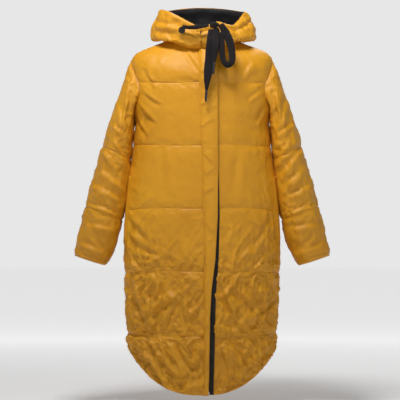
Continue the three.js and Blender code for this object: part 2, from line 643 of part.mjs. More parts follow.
// The loop is a strap in a U whose two ends are stitched under the neck seam.
const loopY = NECK_BACK - TOTAL - LOOP.behind;
const strap = new THREE.Shape();
const loopHalf = LOOP.span / 2;
strap.moveTo(-loopHalf, -LOOP.drop);
strap.lineTo(-loopHalf, 0);
strap.quadraticCurveTo(0, 4, loopHalf, 0);
strap.lineTo(loopHalf, -LOOP.drop);
strap.lineTo(loopHalf - LOOP.width, -LOOP.drop);
strap.lineTo(loopHalf - LOOP.width, -LOOP.width);
strap.lineTo(LOOP.width - loopHalf, -LOOP.width);
strap.lineTo(LOOP.width - loopHalf, -LOOP.drop);
strap.closePath();
const strapSolid = new THREE.ExtrudeGeometry(strap, { depth: LOOP.thickness, bevelEnabled: false, curveSegments: 6 });
add("hanger_loop", strapSolid.rotateX(Math.PI / 2), TAPE_CLOTH).position.set(0, loopY, 0);

const label = add("neck_label", new THREE.BoxGeometry(LABEL.width, LABEL.thickness, LABEL.height), LABEL_CLOTH);
label.position.set(0, loopY - 2, -LOOP.drop - 4 - LABEL.height / 2);

export default coat;
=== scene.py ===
# %% [markdown]
# A long hooded winter coat, quilted across the body and sleeves. The frame file holds its hard facts: where
# each panel lies, how the hood, sleeves and storm flap turn, and how big it all is. Here the plain solids are
# dressed with cloth: each panel is laid out as a fine grid, sewn down along its quilting lines and inflated
# with Blender's cloth solver, as the fibre inside a real panel does.

# %% Load the frame
import math

import bmesh
import bpy
import numpy as np
from mathutils import Matrix, Vector, noise


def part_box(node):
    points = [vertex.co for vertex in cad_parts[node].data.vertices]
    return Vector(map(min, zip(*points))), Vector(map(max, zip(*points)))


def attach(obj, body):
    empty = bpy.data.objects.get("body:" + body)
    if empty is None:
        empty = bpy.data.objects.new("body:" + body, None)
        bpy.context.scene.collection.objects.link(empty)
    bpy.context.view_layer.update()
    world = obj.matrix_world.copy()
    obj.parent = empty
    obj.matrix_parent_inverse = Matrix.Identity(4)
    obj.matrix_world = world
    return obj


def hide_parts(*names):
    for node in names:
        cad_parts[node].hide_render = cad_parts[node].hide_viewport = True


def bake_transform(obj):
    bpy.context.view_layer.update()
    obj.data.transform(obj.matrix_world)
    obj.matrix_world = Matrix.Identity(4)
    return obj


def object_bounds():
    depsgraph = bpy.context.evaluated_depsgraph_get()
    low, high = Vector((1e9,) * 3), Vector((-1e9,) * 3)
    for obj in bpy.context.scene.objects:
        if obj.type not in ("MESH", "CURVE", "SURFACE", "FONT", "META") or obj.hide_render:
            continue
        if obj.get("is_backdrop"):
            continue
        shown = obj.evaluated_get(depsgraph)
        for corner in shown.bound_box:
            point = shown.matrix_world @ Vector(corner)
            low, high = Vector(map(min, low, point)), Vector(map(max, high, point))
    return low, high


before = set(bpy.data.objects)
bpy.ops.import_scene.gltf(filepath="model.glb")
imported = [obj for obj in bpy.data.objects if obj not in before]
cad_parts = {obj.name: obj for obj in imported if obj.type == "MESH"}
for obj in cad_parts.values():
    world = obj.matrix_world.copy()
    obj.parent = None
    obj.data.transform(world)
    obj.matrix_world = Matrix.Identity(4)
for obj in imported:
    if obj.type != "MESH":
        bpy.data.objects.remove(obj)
cad_low, cad_high = (list(p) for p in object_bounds())
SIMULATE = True
scene = bpy.context.scene
print("CAD box", np.round(cad_low, 3), np.round(cad_high, 3))

# %% [markdown]
# The camera comes first. A long lens far away keeps the coat's proportions, because its near and far parts
# are then almost the same distance off. The width in view over the distance is the sensor's width over the
# lens.

# %% Camera
VIEW_WIDTH = 1.2
SENSOR_MM = 36
CAMERA_DISTANCE = 7.0
coat_middle = Vector((-0.006, 0.0, -0.486))
camera_data = bpy.data.cameras.new("camera")
camera_data.sensor_width = SENSOR_MM
camera_data.lens = SENSOR_MM * CAMERA_DISTANCE / VIEW_WIDTH
camera = bpy.data.objects.new("camera", camera_data)
camera.location = coat_middle + Vector((0, -CAMERA_DISTANCE, 0))
camera.rotation_euler = (math.radians(90), 0, 0)
scene.collection.objects.link(camera)
scene.camera = camera
print("lens", round(camera_data.lens, 1), "mm")

# %% [markdown]
# Small helpers. A finished piece sits at the origin with its place in its mesh, so every helper makes a mesh
# from a bmesh and links it once.

# %% Helpers for pieces
MM = 0.001


def piece_from(bm, name, smooth_faces=True):
    mesh = bpy.data.meshes.new(name)
    for face in bm.faces:
        face.smooth = smooth_faces
    bm.to_mesh(mesh)
    bm.free()
    obj = bpy.data.objects.new(name, mesh)
    scene.collection.objects.link(obj)
    return obj


def vectors_of(mesh, key):
    """The places ("co") or the normals ("normal") of a mesh's vertices, one row for each."""
    values = np.empty(len(mesh.vertices) * 3, np.float32)
    mesh.vertices.foreach_get(key, values)
    return values.reshape(-1, 3).astype(float)


def box_middle(node):
    low, high = (Vector(p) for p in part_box(node))
    return (low + high) / 2


def set_down(bm, axis, ahead, place):
    """Turns a bmesh so that one of its axes points ahead, and moves it to its place."""
    turn = Vector(axis).rotation_difference(Vector(ahead)).to_matrix()
    bmesh.ops.rotate(bm, verts=bm.verts, cent=(0, 0, 0), matrix=turn)
    bmesh.ops.translate(bm, verts=bm.verts, vec=Vector(place))


def apply_modifiers(obj):
    graph = bpy.context.evaluated_depsgraph_get()
    mesh = bpy.data.meshes.new_from_object(obj.evaluated_get(graph), depsgraph=graph)
    obj.modifiers.clear()
    obj.data = mesh


def ease(x):
    x = np.clip(x, 0, 1)
    return x * x * (3 - 2 * x)


def mix(a, b, f):
    return a + (b - a) * f


# %% [markdown]
# Materials are made before the pieces, so that a piece is finished where it is built. The shell is a fine
# nylon weave: its colour is a touch darker where the cloth is thick with dye, a sheen lifts its edges, and
# two bumps give it a soft crinkle and a weave. Every number that is the same all over is set on the shader
# itself.

# %% Material helpers


def new_material(name):
    material = bpy.data.materials.new(name)
    material.use_nodes = True
    nodes = material.node_tree.nodes
    shader = nodes["Principled BSDF"]
    return material, nodes, material.node_tree.links, shader


def set_values(node, values):
    for key, value in values.items():
        node.inputs[key].default_value = value


def noise_node(nodes, links, coords, scale, detail=3.0, rough=0.5):
    node = nodes.new("ShaderNodeTexNoise")
    set_values(node, {"Scale": scale, "Detail": detail, "Roughness": rough})
    links.new(coords, node.inputs["Vector"])
    return node.outputs["Fac"]


def bump_node(nodes, links, height, strength, distance, under=None):
    node = nodes.new("ShaderNodeBump")
    set_values(node, {"Strength": strength, "Distance": distance})
    links.new(height, node.inputs["Height"])
    if under is not None:
        links.new(under, node.inputs["Normal"])
    return node.outputs["Normal"]


def wave_pair(nodes, links, coords, scale):
    """Two crossed bands, the warp and the weft of a weave, as one height."""
    heights = []
    for axis in ("X", "Z"):
        wave = nodes.new("ShaderNodeTexWave")
        wave.bands_direction = axis
        set_values(wave, {"Scale": scale, "Distortion": 0.4})
        links.new(coords, wave.inputs["Vector"])
        heights.append(wave.outputs["Fac"])
    total = nodes.new("ShaderNodeMath")
    total.operation = "MAXIMUM"
    links.new(heights[0], total.inputs[0])
    links.new(heights[1], total.inputs[1])
    return total.outputs[0]


def tinted(nodes, links, factor, dark, light, low=0.3, high=0.7):
    ramp = nodes.new("ShaderNodeValToRGB")
    ramp.color_ramp.elements[0].position = low
    ramp.color_ramp.elements[0].color = (*dark, 1)
    ramp.color_ramp.elements[1].position = high
    ramp.color_ramp.elements[1].color = (*light, 1)
    links.new(factor, ramp.inputs["Fac"])
    return ramp.outputs["Color"]


# %% Shell cloth
SHELL_WEAVE = 900


def shell_material(name, dark, light):
    material, nodes, links, shader = new_material(name)
    coords = nodes.new("ShaderNodeTexCoord").outputs["Object"]
    patches = noise_node(nodes, links, coords, 7, 4, 0.6)
    links.new(tinted(nodes, links, patches, dark, light), shader.inputs["Base Color"])
    set_values(shader, {"Roughness": 0.52, "Specular IOR Level": 0.35, "Sheen Weight": 0.06,
                        "Sheen Roughness": 0.4, "Sheen Tint": (1.0, 0.7, 0.25, 1)})
    crinkle = noise_node(nodes, links, coords, 95, 4, 0.6)
    creases = bump_node(nodes, links, crinkle, 0.35, 1.2 * MM)
    threads = wave_pair(nodes, links, coords, SHELL_WEAVE)
    links.new(bump_node(nodes, links, threads, 0.25, 0.15 * MM, creases), shader.inputs["Normal"])
    return material


SHELL_CLOTH = shell_material("mustard_shell", (0.585, 0.252, 0.007), (0.665, 0.305, 0.010))


def dark_cloth(name, base, roughness, weave=700, sheen=0.04):
    material, nodes, links, shader = new_material(name)
    coords = nodes.new("ShaderNodeTexCoord").outputs["Object"]
    patches = noise_node(nodes, links, coords, 30, 3)
    lighter = tuple(c * 1.7 for c in base)
    links.new(tinted(nodes, links, patches, base, lighter), shader.inputs["Base Color"])
    set_values(shader, {"Roughness": roughness, "Specular IOR Level": 0.16, "Sheen Weight": sheen})
    soft = bump_node(nodes, links, noise_node(nodes, links, coords, 120, 3), 0.3, 1 * MM)
    threads = wave_pair(nodes, links, coords, weave)
    links.new(bump_node(nodes, links, threads, 0.4, 0.2 * MM, soft), shader.inputs["Normal"])
    return material


LINING_CLOTH = dark_cloth("black_lining", (0.011, 0.010, 0.0105), 0.45)
TAPE_CLOTH = dark_cloth("black_tape", (0.014, 0.013, 0.012), 0.75, 500)
CORD_COTTON = dark_cloth("cord_cotton", (0.009, 0.007, 0.0075), 0.9, 420, 0.05)
LABEL_CLOTH = dark_cloth("label_satin", (0.022, 0.021, 0.02), 0.4)


def thread_material(name, color):
    material, nodes, links, shader = new_material(name)
    coords = nodes.new("ShaderNodeTexCoord").outputs["Object"]
    twist = noise_node(nodes, links, coords, 900, 2)
    links.new(tinted(nodes, links, twist, tuple(c * 0.75 for c in color), color), shader.inputs["Base Color"])
    set_values(shader, {"Roughness": 0.5, "Sheen Weight": 0.3})
    return material


SHELL_THREAD = thread_material("mustard_thread", (0.42, 0.17, 0.012))


def hard_material(name, color, roughness, metallic):
    material, nodes, links, shader = new_material(name)
    coords = nodes.new("ShaderNodeTexCoord").outputs["Object"]
    wear = noise_node(nodes, links, coords, 260, 4, 0.65)
    worn = tuple(min(1.0, c * 1.8 + 0.01) for c in color)
    links.new(tinted(nodes, links, wear, color, worn, 0.45, 0.8), shader.inputs["Base Color"])
    set_values(shader, {"Roughness": roughness, "Metallic": metallic})
    links.new(bump_node(nodes, links, wear, 0.15, 0.1 * MM), shader.inputs["Normal"])
    return material


TIP_PLASTIC = hard_material("tip_plastic", (0.012, 0.012, 0.013), 0.3, 0.0)
BLACK_METAL = hard_material("black_enamel", (0.013, 0.012, 0.012), 0.35, 0.4)
SLIDER_METAL = hard_material("dark_plating", (0.09, 0.085, 0.08), 0.32, 1.0)


def finish_with(obj, material, slot, body=None, *nodes):
    """Gives a piece its material, the body that it rides on, and the solids that it stands for. Its slot is not
    used.
    """
    obj.data.materials.clear()
    obj.data.materials.append(material)
    if body:
        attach(obj, body)
    if nodes:
        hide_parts(*nodes)


# %% [markdown]
# The drawcord is a flat cotton tape. A tape can be a curve with a flat profile, but a swept band gives
# control of its width and of the way it lies, so each stretch is a band of rings along a smooth route: wide
# and flat where it hangs, bunched where it goes through the knot. The route's points are the ones that the
# solids follow.

# %% Drawcord
CORD_ROUTES = {
    "cord_bridge": [(-57, -107, 26), (-40, -117, 23), (-12, -119, 24), (8, -121, 27), (20, -122, 30)],
    "cord_long_end": [(29, -127, 16), (27, -137, -18), (24, -144, -60), (21, -148, -86), (16, -150, -125),
                      (13, -151, -163)],
    "cord_short_end": [(42, -128, 17), (42, -141, -15), (39, -151, -50), (35, -156, -82)],
    "cord_loop": [(55, -121, 32), (70, -126, 6), (82, -131, -22), (88, -137, -52), (88, -142, -76),
                  (77, -146, -90), (65, -147, -80), (59, -143, -58), (57, -136, -28), (54, -129, 8)],
}


def spaced_route(points, steps):
    """A smooth curve through the points, as evenly spaced points in metres."""
    points = np.array(points, float) * MM
    ends = np.vstack([2 * points[0] - points[1], points, 2 * points[-1] - points[-2]])
    fine = []
    for i in range(1, len(ends) - 2):
        a, b, c, d = ends[i - 1:i + 3]
        for f in np.linspace(0, 1, 24, endpoint=False):
            fine.append(b + 0.5 * f * (c - a + f * (2 * a - 5 * b + 4 * c - d + f * (3 * (b - c) + d - a))))
    fine = np.array(fine + [ends[-2]])
    along = np.r_[0, np.cumsum(np.linalg.norm(np.diff(fine, axis=0), axis=1))]
    at = np.linspace(0, along[-1], steps)
    return np.stack([np.interp(at, along, fine[:, k]) for k in range(3)], 1), along[-1]


CORD_STEPS, CORD_SIDES = 70, 12
TOWARDS_FRONT = Vector((0, -1, 0))


def tape(name, route, width, thickness, widths):
    """A flat band along a route. widths gives its width along the way, as shares of the full width."""
    line, length = spaced_route(route, CORD_STEPS)
    share = np.interp(np.linspace(0, 1, CORD_STEPS), np.linspace(0, 1, len(widths)), widths)
    bm = bmesh.new()
    rings = []
    for k in range(CORD_STEPS):
        ahead = Vector(line[min(k + 1, CORD_STEPS - 1)] - line[max(k - 1, 0)]).normalized()
        across = ahead.cross(TOWARDS_FRONT).normalized()
        up = across.cross(ahead)
        half = width / 2 * share[k]
        deep = thickness / 2 * (1 + 1.4 * (1 - share[k]))
        ring = bmesh.ops.create_circle(bm, segments=CORD_SIDES, radius=1)["verts"]
        for vert in ring:
            x, y = vert.co.x, vert.co.y
            flat = math.copysign(abs(y) ** 0.6, y)
            ripple = 0.35 * MM * math.sin(k * 0.7 + 3 * x)
            vert.co = Vector(line[k]) + across * (half * x) + up * (deep * flat + ripple)
        rings.append(ring)
    for a, b in zip(rings, rings[1:]):
        for i in range(CORD_SIDES):
            bm.faces.new((a[i], a[(i + 1) % CORD_SIDES], b[(i + 1) % CORD_SIDES], b[i]))
    bm.faces.new(rings[0])
    bm.faces.new(list(reversed(rings[-1])))
    bmesh.ops.recalc_face_normals(bm, faces=bm.faces)
    obj = piece_from(bm, name)
    return obj, line, length


CORD_LOOKS = {
    "cord_bridge": (13, 5, [0.9, 0.8, 1.0, 0.8, 0.7]),
    "cord_long_end": (29, 4.0, [0.7, 0.9, 1.0, 1.0, 0.95, 0.9, 0.62, 0.28]),
    "cord_short_end": (17, 3.6, [0.8, 1.0, 1.0, 0.95, 0.5]),
    "cord_loop": (24, 4.2, [0.7, 1.0, 1.0, 0.9, 0.8, 0.7, 0.7, 0.75, 0.8, 0.6]),
}
cords = {}
for name, route in CORD_ROUTES.items():
    width, thickness, widths = CORD_LOOKS[name]
    obj, line, length = tape("drawcord_" + name[5:], route, width * MM, thickness * MM, widths)
    finish_with(obj, CORD_COTTON, "cord_cotton", "coat_body", name)
    cords[name] = (obj, line, length, width * MM)
    print(name, round(length, 3), "m")

# %% [markdown]
# The knot is a few turns of the same tape pulled tight: a tape wound round a small ball reads as a knot where
# a plain ball would not. The tips are moulded, with a round nose and a rib.

# %% Knot and cord tips
knot_low, knot_high = (np.array(p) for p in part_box("cord_knot"))
knot_middle = (knot_low + knot_high) / 2
KNOT_SIZE = (knot_high - knot_low) / 2
KNOT_FLATTEN, KNOT_DROP = 0.72, 0.003


def knot_piece():
    bm = bmesh.new()
    bmesh.ops.create_icosphere(bm, subdivisions=4, radius=1)
    for vert in bm.verts:
        p = vert.co.copy()
        turn = math.atan2(p.z, p.x)
        wrap = math.sin(2.4 * turn + 3.1 * p.y + 0.6) + 0.5 * math.sin(5.2 * p.z + 2.0 * p.x)
        fold = 1 + 0.07 * wrap + 0.05 * noise.noise(p * 3)
        ball = Vector((p.x * KNOT_SIZE[0], p.y * KNOT_SIZE[1], p.z * KNOT_SIZE[2] * KNOT_FLATTEN - KNOT_DROP))
        vert.co = Vector(knot_middle) + ball * fold
    return piece_from(bm, "drawcord_knot")


finish_with(knot_piece(), CORD_COTTON, "cord_cotton", "coat_body", "cord_knot")


def tip_piece(name, node, start):
    middle = box_middle(node)
    along = (middle - Vector(start)).normalized()
    length = (middle - Vector(start)).length * 2
    profile = [(0.0, 0.6), (0.02, 3.6), (0.1, 4.1), (0.16, 3.7), (0.22, 4.1), (0.6, 3.9), (0.9, 3.4),
               (0.98, 2.2), (1.0, 0.3)]
    bm = bmesh.new()
    verts = [bm.verts.new((radius * MM, 0, share * length)) for share, radius in profile]
    edges = [bm.edges.new(pair) for pair in zip(verts, verts[1:])]
    bmesh.ops.spin(bm, geom=verts + edges, cent=(0, 0, 0), axis=(0, 0, 1), angle=math.tau, steps=20,
                   use_merge=True)
    bmesh.ops.holes_fill(bm, edges=bm.edges, sides=24)
    bmesh.ops.remove_doubles(bm, verts=bm.verts, dist=1e-6)
    bmesh.ops.recalc_face_normals(bm, faces=bm.faces)
    set_down(bm, (0, 0, 1), along, start)
    obj = piece_from(bm, name)
    finish_with(obj, TIP_PLASTIC, "tip_plastic", "coat_body", node)
    return obj


tips = {
    "long": tip_piece("cord_tip_long_end", "cord_tip_long", cords["cord_long_end"][1][-1]),
    "short": tip_piece("cord_tip_short_end", "cord_tip_short", cords["cord_short_end"][1][-1]),
}

CORD_ENDS = {
    "cord_bridge": ("object", "medium", "taut", []),
    "cord_long_end": ("fitting", "limp", "hanging", [tips["long"]]),
    "cord_short_end": ("fitting", "limp", "hanging", [tips["short"]]),
    "cord_loop": ("object", "limp", "hanging", []),
}
for name, (far_end, stiffness, lay, with_pieces) in CORD_ENDS.items():
    obj, line, length, width = cords[name]

# %% [markdown]
# The coat's pattern: rows of measures from the neck to the hem, as a tailor writes them. Each row is the half
# width and height at the side, and the depth and height at the front and at the back. A point anywhere on the
# body is found between the rows, so every panel, seam and stitch can be placed from an angle round the body
# and a row.

# %% The pattern of the body
SHOULDER_HALF, SHOULDER_Z, PIT_Z = 0.203, -0.050, -0.252
HIP_HALF, HEM_HALF, SIDE_HEM_Z, HEM_Z = 0.235, 0.222, -0.930, -1.060
ZIP_TOP_Z, FRONT_DEPTH, FRONT_SLOPE = -0.106, 0.115, 0.0664
TIP_ROW, PIT_ROW, HEM_ROW = 2, 6, 13
ARMHOLE_HALF = {"front": 0.066, "back": 0.060}


def down(share):
    return mix(ZIP_TOP_Z, HEM_Z, share)


def front_depth(z):
    return FRONT_DEPTH + FRONT_SLOPE * (ZIP_TOP_Z - z)


def lower_row(share, half, extra=0.0):
    front = down(share)
    side = mix(PIT_Z, SIDE_HEM_Z, (front - down(0.17)) / (HEM_Z - down(0.17)))
    depth = front_depth(max(front, down(0.6))) + extra
    return [half, side, depth, front, depth - 0.011, front + 0.008]


def armhole_row(t, share, out, back):
    z = down(share)
    return [SHOULDER_HALF + out, mix(SHOULDER_Z, PIT_Z, t), front_depth(z), z, back, z + 0.006]


BODY_ROWS = np.array([
    [0.072, 0.004, 0.066, -0.026, 0.060, 0.010],
    [0.1375, -0.020, 0.097, -0.064, 0.086, -0.036],
    [SHOULDER_HALF, SHOULDER_Z, FRONT_DEPTH, ZIP_TOP_Z, 0.103, -0.092],
    armhole_row(0.25, 0.042, 0.014, 0.109),
    armhole_row(0.5, 0.084, 0.019, 0.113),
    armhole_row(0.75, 0.126, 0.013, 0.117),
    [0.203, PIT_Z, front_depth(down(0.17)), down(0.17), 0.120, down(0.17) + 0.004],
    lower_row(0.264, mix(0.203, HIP_HALF, 0.22)),
    lower_row(0.367, mix(0.203, HIP_HALF, 0.53)),
    lower_row(0.476, mix(0.203, HIP_HALF, 0.82)),
    lower_row(0.597, HIP_HALF),
    lower_row(0.723, mix(HIP_HALF, HEM_HALF, 0.1), 0.001),
    lower_row(0.855, mix(HIP_HALF, HEM_HALF, 0.45)),
    lower_row(1.0, HEM_HALF, -0.003),
])


def smooth(table, t):
    """Smooth values between the whole-numbered rows of a table, for an array of t."""
    t = np.asarray(t, float)
    i = np.clip(np.floor(t).astype(int), 0, len(table) - 2)
    f = (t - i)[..., None]
    a, b, c, d = (table[np.clip(i + k, 0, len(table) - 1)] for k in (-1, 0, 1, 2))
    return b + 0.5 * f * (c - a + f * (2 * a - 5 * b + 4 * c - d + f * (3 * (b - c) + d - a)))


def ring_points(rows, angle, bend=2.6):
    """Points of the rings, at angles from the centre front towards +X."""
    s, c = np.sin(angle), np.cos(angle)
    front = c > 0
    depth = np.where(front, rows[..., 2], rows[..., 4])
    end_z = np.where(front, rows[..., 3], rows[..., 5])
    z = end_z + (rows[..., 1] - end_z) * np.abs(s) ** bend
    return np.stack([rows[..., 0] * s, -depth * c, z], -1)


def body_points(angle, t):
    angle, t = np.broadcast_arrays(angle, t)
    return ring_points(smooth(BODY_ROWS, t), angle)


def edge_angle(t, side):
    """The angle from the centre front or back to the armhole, or to the side seam where there is none."""
    t = np.asarray(t, float)
    share = np.clip((t - TIP_ROW) / (PIT_ROW - TIP_ROW), 0, 1)
    depth = smooth(BODY_ROWS, t)[..., 2 if side == "front" else 4]
    return np.arccos(np.clip(ARMHOLE_HALF[side] * np.sin(math.pi * share) / depth, 0, 1))


def split_angle(t, x):
    return np.arcsin(np.clip(x / smooth(BODY_ROWS, t)[..., 0], -1, 1))


print("body rows", len(BODY_ROWS))

# %% [markdown]
# Cloth needs irregularity, and it has to be the same on every run. A lattice of fixed values with a smooth
# curve between them gives soft noise. Folding that noise at zero turns it into the sharp ridges of crumpled
# nylon.

# %% Noise for cloth


def soft_noise(points, seed):
    """Smooth values from -1 to 1 at each point."""
    corner = np.floor(points).astype(np.int64)
    f = points - corner
    w = f * f * f * (f * (f * 6 - 15) + 10)
    total = np.zeros(points.shape[:-1])
    for step in np.ndindex(2, 2, 2):
        c = corner + step
        h = (c[..., 0] * 73856093) ^ (c[..., 1] * 19349663) ^ (c[..., 2] * 83492791) ^ (seed * 2654435)
        h = ((h ^ (h >> 13)) * 1274126177) & 0x7FFFFFFF
        h = (h ^ (h >> 16)) & 0xFFFF
        weight = np.prod(np.where(np.array(step) == 1, w, 1 - w), axis=-1)
        total += weight * (h / 32767.5 - 1)
    return total


def crumple(points, size, seed, octaves=3):
    """Sharp ridges between soft hollows, about -0.5 to 1. size is the distance between ridges in metres."""
    p = points / size
    p = p + 0.35 * np.stack([soft_noise(p * 0.7, seed + k) for k in (101, 102, 103)], -1)
    total, share = np.zeros(points.shape[:-1]), 1.0
    for k in range(octaves):
        ridge = 1 - np.abs(soft_noise(p * 1.9 ** k, seed + 17 * k)) * 3.2
        total += share * np.clip(ridge, -0.6, 1)
        share *= 0.5
    return total


def leaning(points, lean, stretch):
    """The points with one slanting direction drawn together, so that a pattern on them runs long that way."""
    x, y, z = np.moveaxis(points, -1, 0)
    c, s = math.cos(lean), math.sin(lean)
    return np.stack([x * c + z * s, y, (-x * s + z * c) / stretch], -1)


print("noise from", round(float(soft_noise(np.random.default_rng(1).uniform(0, 9, (999, 3)), 1).min()), 2))

# %% [markdown]
# Each panel of cloth is a grid of points kept as an array: rows run across the coat and columns run down it.
# An array is easy to measure, to smooth and to draw in at a seam. Blender's create_grid makes the mesh, and
# each point is then put in its place. A tube, such as a sleeve, is a grid whose last column is welded to its
# first.

# %% Grids of cloth


def mesh_grid(name, points, tube=False):
    """A mesh from points[row, column], and for each vertex its row and column."""
    rows, columns = points.shape[:2]
    bm = bmesh.new()
    bmesh.ops.create_grid(bm, x_segments=columns - 1, y_segments=rows - 1, size=0.5)
    layers = [bm.verts.layers.int.new(key) for key in ("row", "column")]
    for vert in bm.verts:
        i, j = round((vert.co.x + 0.5) * (columns - 1)), round((vert.co.y + 0.5) * (rows - 1))
        vert.co = points[j, i]
        vert[layers[0]], vert[layers[1]] = j, i
    if tube:
        seam = [v for v in bm.verts if v[layers[1]] in (0, columns - 1)]
        bmesh.ops.remove_doubles(bm, verts=seam, dist=1e-5)
    obj = piece_from(bm, name)
    places = []
    for key in ("row", "column"):
        values = np.empty(len(obj.data.vertices), np.int32)
        obj.data.attributes[key].data.foreach_get("value", values)
        obj.data.attributes.remove(obj.data.attributes[key])
        places.append(values)
    return obj, places


def finer(points, axis, tube=False):
    """Twice as many points along an axis, through a smooth curve."""
    p = np.moveaxis(points, axis, 0)
    first = p[-2:-1] if tube else 2 * p[:1] - p[1:2]
    last = p[1:2] if tube else 2 * p[-1:] - p[-2:-1]
    ends = np.concatenate([first, p, last])
    fine = np.empty((2 * len(p) - 1,) + p.shape[1:])
    fine[::2] = p
    fine[1::2] = (9 * (ends[1:-2] + ends[2:-1]) - ends[:-3] - ends[3:]) / 16
    return np.moveaxis(fine, 0, axis)


def outward(points, facing, tube=False):
    """Unit normals of a grid."""
    if tube:
        wide = np.concatenate([points[:, -2:-1], points, points[:, 1:2]], 1)
        across = (wide[:, 2:] - wide[:, :-2])
    else:
        across = np.gradient(points, axis=1)
    along = np.gradient(points, axis=0)
    normal = np.cross(across, along) * facing
    return normal / np.maximum(np.linalg.norm(normal, axis=-1, keepdims=True), 1e-9)


def run(points, axis):
    """The distance along a grid from its first row or column, in metres."""
    step = np.linalg.norm(np.diff(points, axis=axis), axis=-1)
    return np.concatenate([np.zeros_like(np.take(step, [0], axis)), np.cumsum(step, axis)], axis)


def draw_in(points, side, seam, reach=0.012):
    """Moves one side of a grid onto its seam, and the cloth beside it less and less."""
    p = points if side in ("top", "bottom") else np.moveaxis(points, 1, 0)
    p = p if side in ("top", "left") else p[::-1]
    shift = np.where(np.isfinite(seam), seam, p[0]) - p[0]
    far = run(p, 0)[..., None]
    p += shift[None] * np.exp(-(far / reach) ** 2)


def sewn_share(last):
    """Places from one sewn line to the next, closer together beside a line, where the cloth bends most."""
    x = np.linspace(0, 1, last + 1)[1:]
    return x - 0.6 / math.tau * np.sin(math.tau * x)


def rows_between(marks, bands, cell):
    """Rows of places down a panel, one of them exactly on each sewn line, and the numbers of the sewn rows."""
    marks = np.array(marks)
    t, sewn = [marks[:, 0]], []
    for k, band in enumerate(bands):
        for f in sewn_share(max(4, round(band / cell))):
            t.append(mix(marks[:, k], marks[:, k + 1], f))
        sewn.append(len(t) - 1)
    return np.array(t), sewn[:-1]


def doubled(points, tube=False):
    """The grid with twice as many rows and columns."""
    return finer(finer(points, 0), 1, tube)


def facing_out(points, tube=False):
    """The sign that turns a grid's normals away from the wearer, or away from the middle of a tube."""
    if tube:
        return 1 if (outward(points, 1, True) * (points - points.mean(1, keepdims=True))).sum() > 0 else -1
    row = len(points) // 2
    return 1 if (outward(points, 1)[row] * (points[row] * [1, 1, 0])).sum() > 0 else -1


def about_to_swell(plain, normals, seedling, line, edge, depth):
    """The grid with its seams drawn in and a little unevenness to wrinkle from, and what the stitches hold."""
    start = plain + normals * (seedling * ease(line / 0.02) * ease(edge / 0.02)
                               - depth * np.exp(-(line / 0.012) ** 2))[..., None]
    return start, np.maximum(line < 1e-5, edge < 1e-5).astype(float)


# %% [markdown]
# Inflating a panel. The points on the quilting lines and on the panel's edges are pinned, which is what the
# stitches do. Pressure pushes the rest outwards, and a negative shrink gives the cloth more length than the
# space it covers, so that it must wrinkle: this is how a real quilted panel gets its puckers. The settled
# shape is taken from the solver and no point may move further than a cap, so that the panel keeps its size.

# %% Inflate a grid
SETTLING_FRAMES = 15


def inflate(name, points, pins, slack, pressure, cap, tube=False, facing=1):
    """Settles a grid of cloth in the cloth solver and gives the grid back."""
    if not SIMULATE:
        return points + outward(points, facing, tube) * ((1 - pins) * cap * 0.4)[..., None]
    obj, (row, column) = mesh_grid(name + "_settling", points, tube)
    if (vectors_of(obj.data, "normal") * outward(points, facing, tube)[row, column]).sum() < 0:
        obj.data.flip_normals()
    sewn = obj.vertex_groups.new(name="sewn")
    loose = obj.vertex_groups.new(name="loose")
    for index, (pin, weight) in enumerate(zip(pins[row, column], slack[row, column])):
        if pin > 0:
            sewn.add([index], float(pin), "REPLACE")
        loose.add([index], float(weight), "REPLACE")
    cloth = obj.modifiers.new("cloth", "CLOTH")
    settings = cloth.settings
    settings.quality = 4
    settings.mass = 0.15
    settings.tension_stiffness = settings.compression_stiffness = 20
    settings.shear_stiffness = 4
    settings.bending_stiffness = 0.25
    settings.air_damping = 4
    settings.vertex_group_mass = "sewn"
    settings.use_pressure = True
    settings.uniform_pressure_force = pressure
    settings.vertex_group_shrink = "loose"
    settings.shrink_min, settings.shrink_max = 0.0, -0.14
    settings.effector_weights.gravity = 0
    cloth.point_cache.frame_start, cloth.point_cache.frame_end = 1, SETTLING_FRAMES
    for number in range(1, SETTLING_FRAMES + 1):
        scene.frame_set(number)
    settled = obj.evaluated_get(bpy.context.evaluated_depsgraph_get()).to_mesh()
    result = points.copy()
    result[row, column] = vectors_of(settled, "co")
    if tube:
        result[:, -1] = result[:, 0]
    obj.modifiers.clear()
    mesh = obj.data
    bpy.data.objects.remove(obj)
    bpy.data.meshes.remove(mesh)
    scene.frame_set(1)
    move = result - points
    far = np.linalg.norm(move, axis=-1, keepdims=True)
    return points + move * np.minimum(1, cap / np.maximum(far, 1e-9))


# %% [markdown]
# The stitches themselves. A row of stitches pulls the cloth into a narrow groove, and between the stitches
# the cloth stands up in short puckers that fade away from the line. Both are put on after the inflation, on a
# grid twice as fine, because a groove is narrower than the solver's cells. Cloth may sink only so far below
# its plain shape, because its lining lies there.

# %% Stitch grooves and puckers


def groove(distance, depth=1.6 * MM, width=2.2 * MM):
    return -depth * np.exp(-(distance / width) ** 2)


def puckers(distance, along, seed, height=1.0 * MM, reach=0.022, wave=0.011):
    """Short pleats across a sewn line. along is the distance on the line, in metres."""
    place = np.stack([along / wave, distance / 0.05, np.full_like(along, seed)], -1)
    pleat = np.clip(soft_noise(place, seed) * 1.8, -1, 1)
    place2 = place * [0.45, 1, 1]
    pleat = 0.65 * pleat + 0.6 * soft_noise(place2, seed + 5)
    return height * pleat * np.exp(-(distance / reach) ** 2) * (1 - np.exp(-(distance / 0.003) ** 2))


